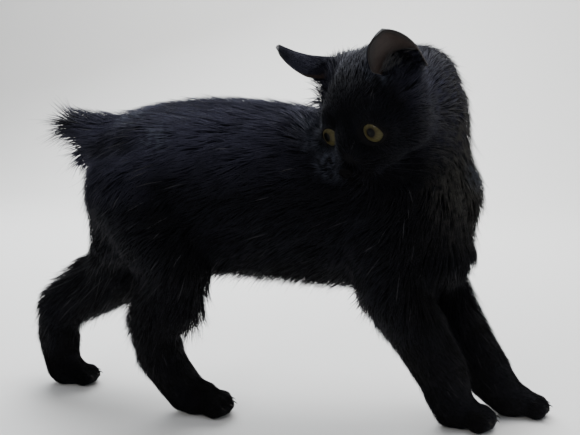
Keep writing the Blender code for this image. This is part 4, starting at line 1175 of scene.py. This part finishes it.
def spike_faces(last):
    """The faces of a closed three-sided spike with so many rings below its tip."""
    faces = [(0, 2, 1)]
    for k in range(last - 1):
        for j in range(3):
            a, b, c, d = 3 * k + j, 3 * k + (j + 1) % 3, 3 * k + 3 + (j + 1) % 3, 3 * k + 3 + j
            faces += [(a, b, c), (a, c, d)]
    for j in range(3):
        faces.append((3 * last - 3 + j, 3 * last - 3 + (j + 1) % 3, 3 * last))
    return np.array(faces)


def tuft_meshes(tufts, spots, ups, rings, widths, patches, names):
    """One mesh of closed three-sided spikes for each named piece."""
    last = len(rings) - 1
    corners, faces = spike_corners(tufts, spots, ups, widths), spike_faces(last)
    per = corners.shape[1]
    t = np.repeat(rings[:-1], 3).tolist() + [1.0]
    side = [-1, 0, 1] * last + [0]
    offsets = PATCH_SPREAD * np.column_stack([2 * np.array(t) - 1, side])
    made = []
    for name in sorted(set(names)):
        chosen = np.flatnonzero(names == name)
        base = per * np.arange(len(chosen))[:, None, None]
        mesh = array_mesh(name, corners[chosen].reshape(-1, 3), (faces[None] + base).reshape(-1, 3))
        along, pale = np.tile(t, len(chosen)), np.repeat(tufts.pale[chosen], per)
        for key, values in (("along", along), ("pale", pale)):
            field = mesh.attributes.new(key, "FLOAT", "POINT")
            field.data.foreach_set("value", values.astype(np.float32))
        spread = (patches[chosen][:, None, :] + offsets[None])[:, faces.ravel()]
        layer = mesh.uv_layers.new(name="OFBake")
        layer.data.foreach_set("uv", np.clip(spread, 0.0, 1.0).astype(np.float32).ravel())
        made.append(mesh)
    return made


UNWRAP_FACES, UNWRAP_ANGLE, UNWRAP_MARGIN = 7000, 66, 0.004


def unwrapped(points, faces):
    """A thinned copy of the surface with an unwrap, and its tree, to look up places on it."""
    obj = object_of(array_mesh("unwrap", points, faces), "unwrap")
    thin = obj.modifiers.new("thin", "DECIMATE")
    thin.ratio = UNWRAP_FACES / len(faces)
    settle(obj)
    bpy.ops.object.select_all(action="DESELECT")
    obj.select_set(True)
    bpy.context.view_layer.objects.active = obj
    bpy.ops.object.mode_set(mode="EDIT")
    bpy.ops.mesh.select_all(action="SELECT")
    bpy.ops.uv.smart_project(angle_limit=math.radians(UNWRAP_ANGLE), island_margin=UNWRAP_MARGIN)
    bpy.ops.object.mode_set(mode="OBJECT")
    mesh = obj.data
    corners, rows = points_of(mesh), triangles_of(mesh)
    loops = read(mesh.loop_triangles, "loops", 3, np.int32)
    uvs = read(mesh.uv_layers.active.data, "uv", 2)[loops]
    bpy.data.objects.remove(obj, do_unlink=True)
    return corners, rows, uvs, BVHTree.FromPolygons(corners.tolist(), rows.tolist())


def patch_places(unwrap, roots):
    """Each root's place on the unwrap."""
    corners, rows, uvs, tree = unwrap
    found = [tree.find_nearest(p) for p in roots.tolist()]
    index = np.array([f[2] for f in found])
    spot = np.array([f[0] for f in found])
    a, b, c = (corners[rows[index, k]] for k in range(3))
    whole = np.cross(b - a, c - a)
    size = np.maximum((whole * whole).sum(1), 1e-18)
    second = (np.cross(spot - a, c - a) * whole).sum(1) / size
    third = (np.cross(b - a, spot - a) * whole).sum(1) / size
    shares = np.column_stack([1 - second - third, second, third])
    return (uvs[index] * shares[..., None]).sum(1)


# Which piece of the coat each flow belongs to
PIECE_OF = {
    "back": "coat_back", "flank": "coat_flank", "belly": "coat_belly", "breast": "coat_breast",
    "neck": "coat_neck", "rump": "coat_rump", "tail": "coat_tail", "shoulder": "coat_shoulder",
    "forearm": "coat_foreleg", "forepaw": "coat_foreleg", "haunch": "coat_haunch", "shank": "coat_hindleg",
    "metatarsus": "coat_hindleg", "hindpaw": "coat_hindleg",
}
SIDED = ("coat_flank", "coat_shoulder", "coat_foreleg", "coat_haunch", "coat_hindleg")
FACE_PIECE_FROM = 0.008


def piece_names(tufts):
    """The name of the piece that each tuft is part of."""
    base = np.array([PIECE_OF[f.part] for f in FLOWS] + ["coat_head"])[tufts.part]
    side = np.where(tufts.root[:, 1] < 0, "_right", "_left")
    names = np.where(np.isin(base, SIDED), np.char.add(base, side), base)
    own = head_points(tufts.root)
    of_head = np.where(own[:, 0] > FACE_PIECE_FROM, "coat_face", "coat_crown")
    return np.where(names == "coat_head", of_head, names)


COAT_LAYERS = 3.6
NOSE_CLEAR, SOLE_CLEAR = 1.15, 0.0012
LONG_HAIR = (0.003, 0.009)
PALE_SHARE, PALE_SHARE_BEHIND, BEHIND = 0.003, 0.01, (0.03, 0.07)
# The share of stray tufts, and how much longer, thinner and freer they are
STRAY_SHARE, STRAY_LENGTH, STRAY_THINNING, STRAY_STAND = 0.12, 0.3, 0.45, 0.2


def grow_coat(hide, unwrap, material):
    """The coat of the whole body, in pieces."""
    tufts = hide.sample(COAT_LAYERS)
    nose = sizes_of((head_points(tufts.root) - np.array(NOSE_CENTRE)) / np.array(NOSE_RADII))
    tufts = tufts.chosen((nose > NOSE_CLEAR) & (tufts.root[:, 2] > SOLE_CLEAR))
    long = step(tufts.sums[:, 0], *LONG_HAIR)
    chance = DRAW.random(len(tufts))
    behind = step(-tufts.root[:, 0], *BEHIND)
    tufts.pale = (chance < (PALE_SHARE + PALE_SHARE_BEHIND * behind) * long).astype(float)
    stray = (chance < STRAY_SHARE * long).astype(float)
    tufts.sums[:, 0] *= 1.0 + STRAY_LENGTH * stray
    tufts.sums[:, 2] *= 1.0 - STRAY_THINNING * stray
    tufts.sums[:, 3] += STRAY_STAND * stray
    short = tufts.sums[:, 3] < FREE_STAND
    for some, rings, widths, end in (
        (short, SHORT_RINGS, SHORT_WIDTHS, ""), (~short, RINGS, RING_WIDTHS, "_loose")
    ):
        group = tufts.chosen(some)
        spots, ups = tuft_paths(group, hide.tree, rings)
        clear = clear_of_eyes(spots)
        group = group.chosen(clear)
        names = np.char.add(piece_names(group), end)
        patches = patch_places(unwrap, group.root)
        for mesh in tuft_meshes(group, spots[clear], ups[clear], rings, widths, patches, names):
            finish_piece(object_of(mesh, mesh.name), material)


def add_skin_and_coat():
    """One skin over the whole body, and the coat that grows from it."""
    outline = outline_mesh()
    points, normals, faces = points_of(outline), normals_of(outline), triangles_of(outline)
    lie, sums, part = coat_fields(points, normals)
    skin = skin_points(points, normals, sums[:, 1])
    mesh = array_mesh("skin", skin, faces)
    finish_piece(object_of(mesh, "skin"), skin_material(), FLESH)
    hide = Hide(skin, faces, normals, lie, sums, part)
    fur = fur_material()
    grow_coat(hide, unwrapped(skin, faces), fur)
    return hide, fur


# Eyes

EYE_SEGMENTS, EYE_RINGS = 64, 48
CORNEA_RISE, CORNEA_ANGLE, CORNEA_POWER = 0.0009, 50.0, 1.5
LID_STEPS = 72
# The lid rim's section: how far out from the opening's edge, and how high over the ball
LID_SECTION = ((0.95, 0.00003), (0.96, 0.00045), (1.02, 0.00072), (1.09, 0.0007), (1.16, 0.0003),
               (1.08, 0.00001))
LID_OVER_CORNEA = 0.25
GAZE_SCALE = 1.0 / 100.0
GAZE_RISE, GAZE_SPLAY = 8.0, 5.0


def angle_off_gaze(x, radius):
    return math.degrees(math.acos(max(-1.0, min(1.0, x / radius))))


def add_eye(side, name, material, rim):
    """The ball with its bulging cornea, turned the way it looks, and the rim of its lids."""
    bm = bmesh.new()
    bmesh.ops.create_uvsphere(bm, u_segments=EYE_SEGMENTS, v_segments=EYE_RINGS, radius=EYE_RADIUS)
    bm.transform(Matrix.Rotation(math.radians(90), 4, "Y"))
    layer = bm.loops.layers.uv.new("Gaze")
    for vertex in bm.verts:
        angle = angle_off_gaze(vertex.co.x, EYE_RADIUS)
        bulge = max(0.0, 1.0 - (angle / CORNEA_ANGLE) ** 2)
        vertex.co *= 1.0 + CORNEA_RISE / EYE_RADIUS * bulge**CORNEA_POWER
    for face in bm.faces:
        middle = face.calc_center_median()
        base = math.atan2(middle.z, middle.y) / (2 * math.pi)
        for loop in face.loops:
            co = loop.vert.co
            around = math.atan2(co.z, co.y) / (2 * math.pi) if math.hypot(co.y, co.z) > 1e-6 else base
            around += round(base - around)
            loop[layer].uv = (angle_off_gaze(co.x, co.length) * GAZE_SCALE, around)
    ball = object_from(bm, "eyeball_" + name)
    ball.data.transform(eye_frame(side) @ turned((0.0, -GAZE_RISE, side * GAZE_SPLAY)))
    finish_piece(ball, material, ("eye_" + name,))
    add_lid_rim(side, name, rim)


def add_lid_rim(side, name, material):
    """A smooth dark rim that follows the opening, lying on the ball."""
    bm = bmesh.new()
    rows = []
    for k in range(LID_STEPS):
        y, z = almond_rim(np.array([2 * math.pi * k / LID_STEPS]))[0]
        row = []
        for share, rise in LID_SECTION:
            py, pz = y * share, z * share
            px = math.sqrt(max(1e-9, EYE_RADIUS**2 - py * py - pz * pz))
            radius = EYE_RADIUS + rise + CORNEA_RISE * LID_OVER_CORNEA
            row.append(bm.verts.new(Vector((px, py, pz)).normalized() * radius))
        rows.append(row)
    add_strips(bm, rows + rows[:1], closed=True)
    bmesh.ops.recalc_face_normals(bm, faces=bm.faces)
    rim = object_from(bm, "lid_rim_" + name)
    rim.data.transform(eye_frame(side))
    smooth = rim.modifiers.new("round", "SUBSURF")
    smooth.levels = smooth.render_levels = 1
    settle(rim)
    finish_piece(rim, material)


# Nose

NOSE_FLATNESS = 0.55
NOSTRIL_PLACE = Vector((0.0016, 0.0021, -0.0004))
NOSTRIL_DEPTH, NOSTRIL_SIZE, NOSTRIL_WIDENING, NOSTRIL_LOWERING = 0.0016, 0.0009, 0.8, 1.25
NOSE_GROOVE_DEPTH, NOSE_GROOVE_WIDTH, NOSE_GROOVE_TOP = 0.0004, 0.00035, 0.0008
NOSE_NARROWING = 0.55


def add_nose(material):
    """The leather: a rounded wedge with a nostril in each wing and a groove between them."""
    bm = bmesh.new()
    bmesh.ops.create_uvsphere(bm, u_segments=56, v_segments=40, radius=1.0)
    deep, wide, tall = NOSE_RADII
    for v in bm.verts:
        narrow = 1.0 if v.co.z > 0 else 1.0 + NOSE_NARROWING * v.co.z
        v.co = Vector((v.co.x * deep * NOSE_FLATNESS, v.co.y * wide * narrow, v.co.z * tall))
        for side in (1, -1):
            gap = v.co - mirrored(NOSTRIL_PLACE, side)
            gap.y *= NOSTRIL_WIDENING
            gap.z *= NOSTRIL_LOWERING
            v.co.x -= NOSTRIL_DEPTH * math.exp(-((gap.length / NOSTRIL_SIZE) ** 2))
        if v.co.z < NOSE_GROOVE_TOP:
            v.co.x -= NOSE_GROOVE_DEPTH * math.exp(-((v.co.y / NOSE_GROOVE_WIDTH) ** 2))
    bm.transform(HEAD_PLACE @ Matrix.Translation(NOSE_CENTRE))
    nose = object_from(bm, "nose_tip")
    finish_piece(nose, material, ("nose",))


# Ears

EAR_ROWS, EAR_COLUMNS = 34, 26
EAR_THICKNESS = 0.0009
# The cup: its lowest row, the shape of its sides, how it flattens and leans towards the tip
EAR_LOW, EAR_ROW_EASE = -0.34, 0.35
EAR_TAPER, EAR_FLATTENING, EAR_LEAN = 3.0, 0.85, 0.0022
EAR_FRONT_BASE, EAR_FRONT_FROM, EAR_FRONT_OVER = 0.45, -0.1, 0.5
# How deep inside the cup the shader takes a place to be, which sets the painted shade in its
# depth: at the root, and what rises towards the rim
CUP_ROOT, CUP_UP, CUP_ACROSS, EAR_RIM_FROM, EAR_RIM_GAIN = 0.35, 0.5, 0.35, 0.88, 2.5


def ear_point(side, u, v, lift=0.0):
    """A point of the cup: u from root to tip, v from edge to edge, lifted off its back."""
    rise = Vector((0.0, 0.0, EAR_RAISE[side]))
    root, tip = mirrored(EAR_ROOT, side) + rise, mirrored(EAR_TIP, side) + rise
    axis = tip - root
    length = axis.length
    axis.normalize()
    opening = mirrored(EAR_OPENING, side)
    opening = (opening - opening.dot(axis) * axis).normalized()
    across = axis.cross(opening)
    reach = min(1.0, max(0.0, u))
    front = -side * v > 0
    wide = 0.5 * EAR_WIDTH * (1.0 - reach**EAR_TAPER) ** (EAR_FRONT_CURVE if front else EAR_BACK_CURVE)
    if front:
        fullness = min(1.0, max(0.0, (u - EAR_FRONT_FROM) / EAR_FRONT_OVER))
        wide *= EAR_FRONT_BASE + (1.0 - EAR_FRONT_BASE) * fullness
    else:
        wide *= EAR_BACK_SHARE
    back = -opening
    deep = EAR_DEPTH * (1.0 - EAR_FLATTENING * reach) * (1.0 - v * v)
    lean = EAR_LEAN * math.sin(math.pi * reach)
    return root + axis * length * u + across * wide * v + back * (deep - lean + lift), axis, back, across


def add_ear(side, name, skin, fur, unwrap_space):
    """The cup and its fur."""
    bm = bmesh.new()
    cup = bm.verts.layers.float.new("cup")
    grid = []
    for i in range(EAR_ROWS + 1):
        s = i / EAR_ROWS
        u = EAR_LOW + (1.0 - EAR_LOW) * s * (1.0 + EAR_ROW_EASE * (1.0 - s))
        row = []
        for j in range(EAR_COLUMNS + 1):
            v = 2.0 * j / EAR_COLUMNS - 1.0
            vertex = bm.verts.new(ear_point(side, u, v)[0])
            # The value for the painted shade deep in the cup, and for the darker rim
            rim = max(0.0, u - EAR_RIM_FROM) * EAR_RIM_GAIN
            vertex[cup] = max(0.0, min(1.0, CUP_ROOT + CUP_UP * u + CUP_ACROSS * v * v + rim))
            row.append(vertex)
        grid.append(row)
    add_strips(bm, grid)
    bmesh.ops.remove_doubles(bm, verts=bm.verts, dist=1e-6)
    bmesh.ops.recalc_face_normals(bm, faces=bm.faces)
    bm.transform(HEAD_PLACE)
    sheet = object_from(bm, "ear_cup_" + name)
    wall = sheet.modifiers.new("wall", "SOLIDIFY")
    wall.thickness = EAR_THICKNESS
    wall.offset = 0.0
    settle(sheet)
    finish_piece(sheet, skin, ("ear_" + name,))
    grow_ear_fur(side, name, fur, unwrap_space)


EAR_HIDE_ROWS, EAR_HIDE_COLUMNS, EAR_HIDE_LIFT = 30, 24, 0.0004
# Which way the hair lies: along the ear, outwards and backwards; and how far the ear's back curves
EAR_LIE_ALONG, EAR_LIE_OUT, EAR_LIE_BACK, EAR_ROUNDING = 0.9, 0.25, 0.05, 0.9


def ear_hide(side, face, low, high, hair):
    """The back of the ear (face 1) or its inner side (face -1) from low to high, to grow fur from.
    The hair is its length, depth, width and stand-off at the low end and at the high end."""
    rows, columns = EAR_HIDE_ROWS, EAR_HIDE_COLUMNS
    points, lies, ups = [], [], []
    for i in range(rows + 1):
        u = low + (high - low) * i / rows
        for j in range(columns + 1):
            v = 2.0 * j / columns - 1.0
            lift = face * (0.5 * EAR_THICKNESS + EAR_HIDE_LIFT)
            spot, axis, back, across = ear_point(side, u, v, lift)
            points.append(spot)
            lies.append(axis * EAR_LIE_ALONG + across * v * EAR_LIE_OUT + back * EAR_LIE_BACK)
            ups.append((back + across * v * EAR_ROUNDING) * face)
    turn = np.array(HEAD_PLACE.to_3x3())
    points = moved(np.array(points), HEAD_PLACE)
    lies, ups = unit(np.array(lies)) @ turn.T, unit(np.array(ups)) @ turn.T
    faces = []
    for i in range(rows):
        for j in range(columns):
            a = i * (columns + 1) + j
            faces += [(a, a + 1, a + columns + 2), (a, a + columns + 2, a + columns + 1)]
    reach = np.repeat(np.linspace(0, 1, rows + 1), columns + 1)[:, None]
    sums = np.array(hair[0]) * (1 - reach) + np.array(hair[1]) * reach
    lies -= (lies * ups).sum(1)[:, None] * ups
    return Hide(points, np.array(faces), ups, unit(lies), sums, np.full(len(points), len(FLOWS)))


# Where each ear's fur lies in the bake's picture
EAR_PATCHES, EAR_PATCH_SIZE = {"left": (0.02, 0.02), "right": (0.92, 0.02)}, 0.05
# For each piece of an ear's fur: its side of the ear, from where to where, its hair and its layers
EAR_FUR = {
    "coat_ear_": (1, -0.16, 0.985, ((0.0062, 0.0016, 4.6, 0.07), (0.0032, 0.0008, 3.6, 0.07)), 6.0),
    "coat_ear_inner_": (-1, -0.34, 0.22, ((0.011, 0.005, 4.8, 0.55), (0.007, 0.0016, 3.6, 0.35)), 5.0),
}


def grow_ear_fur(side, name, fur, unwrap_space):
    """Short fur on the back of the ear, lying towards its tip, and longer fur that fills its inner
    base."""
    hides = [(piece, ear_hide(side, *row[:-1]), row[-1]) for piece, row in EAR_FUR.items()]
    for piece, hide, layers in hides:
        tufts = hide.sample(layers)
        spots, outs = tuft_paths(tufts, hide.tree, SHORT_RINGS)
        patches = unwrap_space + EAR_PATCH_SIZE * DRAW.random((len(tufts), 2))
        names = np.full(len(tufts), piece + name)
        for mesh in tuft_meshes(tufts, spots, outs, SHORT_RINGS, SHORT_WIDTHS, patches, names):
            finish_piece(object_of(mesh, mesh.name), fur)


# Whiskers and wisps: single hairs that taper, made by one node tree

def hair_tree(material):
    """Turns poly lines into tapered hairs."""
    tree = bpy.data.node_groups.new("tapered_hairs", "GeometryNodeTree")
    for name, kind in (
        ("Geometry", "Geometry"), ("Root radius", "Float"), ("Tip radius", "Float"), ("Sides", "Int")
    ):
        tree.interface.new_socket(name, in_out="INPUT", socket_type="NodeSocket" + kind)
    tree.interface.new_socket("Geometry", in_out="OUTPUT", socket_type="NodeSocketGeometry")
    nodes = Nodes(tree)

    def result(kind, output, **inputs):
        named = {key.replace("_", " "): value for key, value in inputs.items()}
        return nodes.node(kind, named).outputs[output]

    given = nodes.node("NodeGroupInput").outputs
    lines = result("GeometryNodeMeshToCurve", "Curve", Mesh=given["Geometry"])
    place = result("GeometryNodeSplineParameter", "Factor")
    taper = result("ShaderNodeMapRange", "Result", Value=place, To_Min=given["Root radius"],
                   To_Max=given["Tip radius"])
    curve = result("GeometryNodeSetCurveRadius", "Curve", Curve=lines, Radius=taper)
    circle = result("GeometryNodeCurvePrimitiveCircle", "Curve", Resolution=given["Sides"], Radius=1.0)
    sweep = result("GeometryNodeCurveToMesh", "Mesh", Curve=curve, Profile_Curve=circle, Scale=taper,
                   Fill_Caps=True)
    real = result("GeometryNodeRealizeInstances", "Geometry", Geometry=sweep)
    painted = result("GeometryNodeSetMaterial", "Geometry", Geometry=real, Material=material)
    nodes.node("NodeGroupOutput", {"Geometry": painted})
    return tree


def add_hairs(name, lines, root, tip, material, slot, sides=6):
    """One piece from many poly lines."""
    bm = bmesh.new()
    for line in lines:
        row = [bm.verts.new(p) for p in line]
        for first, second in zip(row, row[1:]):
            bm.edges.new((first, second))
    obj = object_from(bm, name)
    tree = hair_tree(material)
    grow = obj.modifiers.new("hairs", "NODES")
    grow.node_group = tree
    for item in tree.interface.items_tree:
        value = {"Root radius": root, "Tip radius": tip, "Sides": sides}.get(item.name)
        if item.in_out == "INPUT" and value is not None:
            grow[item.identifier] = value
    settle(obj)
    return finish_piece(obj, material)


def bent_hair(start, way, droop, length, steps=9):
    """Points along a hair that bends."""
    way = way.normalized()
    points = []
    for k in range(steps):
        t = k / (steps - 1)
        points.append(start + way * length * t + droop * length * t * t)
    return points


# Radius at the root and at the tip
WHISKER_RADII, WISP_RADII, CLAW_RADII = (0.00011, 0.00003), (0.00009, 0.00003), (0.00045, 0.00008)
# The whiskers of the lip stand in rows. A place and a way: of the first, then what each hair adds and
# what each row adds. A length: of the first, then what each hair adds.
WHISKER_ROWS, ROW_HAIRS, LONG_ROWS = 4, 3, (1, 2)
WHISKER_PLACE = np.array(((0.0335, 0.0072, -0.015), (-0.0024, 0.0013, 0.0), (0.0, 0.0, -0.0018)))
WHISKER_WAY = np.array(((0.2, 1.0, 0.22), (-0.22, 0.0, 0.0), (0.0, 0.0, -0.16)))
WHISKER_LENGTH, WHISKER_DROOP, WHISKER_SPREAD = (0.017, 0.006), (-0.16, 0.0, -0.1), 0.12
WHISKER_WEIGHT = Vector((0, 0, -0.05))
BROW_HAIRS = 3
BROW_PLACE = np.array(((0.024, 0.0105, 0.008), (0.0, 0.003, 0.0)))
BROW_WAY = np.array(((0.75, 0.25, 0.75), (0.0, 0.2, 0.0)))
BROW_LENGTH, BROW_DROOP, BROW_SPREAD = 0.0135, (-0.35, 0.0, 0.05), 0.2


def add_whiskers(hide):
    """Whiskers in rows on the lips, and some on the brows."""
    turn = HEAD_PLACE.to_3x3()
    lines = []

    def grow(side, place, way, droop, length, spread):
        start = hide.tree.find_nearest(HEAD_PLACE @ mirrored(place, side))[0]
        length *= 1.0 + DRAW.uniform(-spread, spread)
        lines.append(bent_hair(start, turn @ mirrored(way, side), droop, length))

    for side in (1, -1):
        droop = turn @ Vector(WHISKER_DROOP) + WHISKER_WEIGHT
        for row in range(WHISKER_ROWS):
            for k in range(ROW_HAIRS + (row in LONG_ROWS)):
                place, way = (
                    start + k * step + row * down for start, step, down in (WHISKER_PLACE, WHISKER_WAY))
                grow(side, place, way, droop, WHISKER_LENGTH[0] + WHISKER_LENGTH[1] * k, WHISKER_SPREAD)
        droop = turn @ Vector(BROW_DROOP)
        for k in range(BROW_HAIRS):
            place, way = (start + k * step for start, step in (BROW_PLACE, BROW_WAY))
            grow(side, place, way, droop, BROW_LENGTH, BROW_SPREAD)
    stiff = hair_material("whisker", (0.003, 0.003, 0.004), (0.012, 0.012, 0.015))
    add_hairs("whiskers", lines, *WHISKER_RADII, stiff, "whisker")


WISPS, WISP_POINTS, WISP_SIDES, WISP_SINK = 150, 5, 4, 0.0004
# Ranges: along the ear, across it on the inner and on the outer side, and the share on the inner side
WISP_ALONG, WISP_INNER, WISP_OUTER, INNER_SHARE = (-0.12, 0.3), (-0.98, -0.45), (0.6, 0.97), 0.8
WISP_RISE, WISP_CROSSING, WISP_LEAN = (0.45, 1.0), (0.5, 1.1), (0.1, 0.5)
WISP_DROOP, WISP_SWAY = (-0.1, 0.3), (-0.2, 0.2)
WISP_LENGTH, WISP_SHORTENING = (0.005, 0.0105), 0.5


def add_ear_wisps():
    """Wisps that cross the opening of each ear from its inner edge."""
    turn = HEAD_PLACE.to_3x3()
    lines = []
    for side in (1, -1):
        for _ in range(WISPS):
            u = DRAW.uniform(*WISP_ALONG)
            v = DRAW.uniform(*(WISP_INNER if DRAW.random() < INNER_SHARE else WISP_OUTER))
            spot, axis, back, across = ear_point(side, u, v * side)
            way = axis * DRAW.uniform(*WISP_RISE) - across * v * side * DRAW.uniform(*WISP_CROSSING)
            way -= back * DRAW.uniform(*WISP_LEAN)
            start = HEAD_PLACE @ (spot - back * WISP_SINK)
            droop = turn @ (axis * DRAW.uniform(*WISP_DROOP) + across * DRAW.uniform(*WISP_SWAY))
            length = DRAW.uniform(*WISP_LENGTH) * (1.0 - WISP_SHORTENING * u)
            lines.append(bent_hair(start, turn @ way, droop, length, WISP_POINTS))
    wisp = hair_material("ear_wisps", (0.016, 0.015, 0.016), (0.085, 0.083, 0.085))
    add_hairs("ear_wisps", lines, *WISP_RADII, wisp, "whisker", WISP_SIDES)


# Claws

CLAW_LENGTH, CLAW_AHEAD, CLAW_HEIGHT = 0.0021, 0.0058, 0.0012
CLAW_RISE, CLAW_DROOP, CLAW_POINTS, CLAW_SIDES = 0.05, -0.62, 7, 8


def add_claws(material):
    """A small hooked claw at the end of each toe, mostly hidden by the fur."""
    droop = Vector((0, 0, CLAW_DROOP))
    lines = []
    for paw in PAWS:
        for toe, way, size in toe_places(paw):
            a = math.radians(way)
            ahead = Vector((math.cos(a), math.sin(a), 0.0))
            start = toe + ahead * CLAW_AHEAD * size + Vector((0, 0, CLAW_HEIGHT))
            ahead += Vector((0, 0, CLAW_RISE))
            lines.append(bent_hair(start, ahead, droop, CLAW_LENGTH * size, CLAW_POINTS))
    add_hairs("claws", lines, *CLAW_RADII, material, "claw", CLAW_SIDES)


def main():
    add_camera()
    add_stage()
    hide, fur = add_skin_and_coat()
    eye, rim = eye_material(), lid_material()
    for side, name in ((1, "left"), (-1, "right")):
        add_eye(side, name, eye, rim)
    add_nose(nose_material())
    ear = ear_material()
    for side, name in ((1, "left"), (-1, "right")):
        add_ear(side, name, ear, fur, np.array(EAR_PATCHES[name]))
    add_whiskers(hide)
    add_ear_wisps()
    add_claws(claw_material())


main()
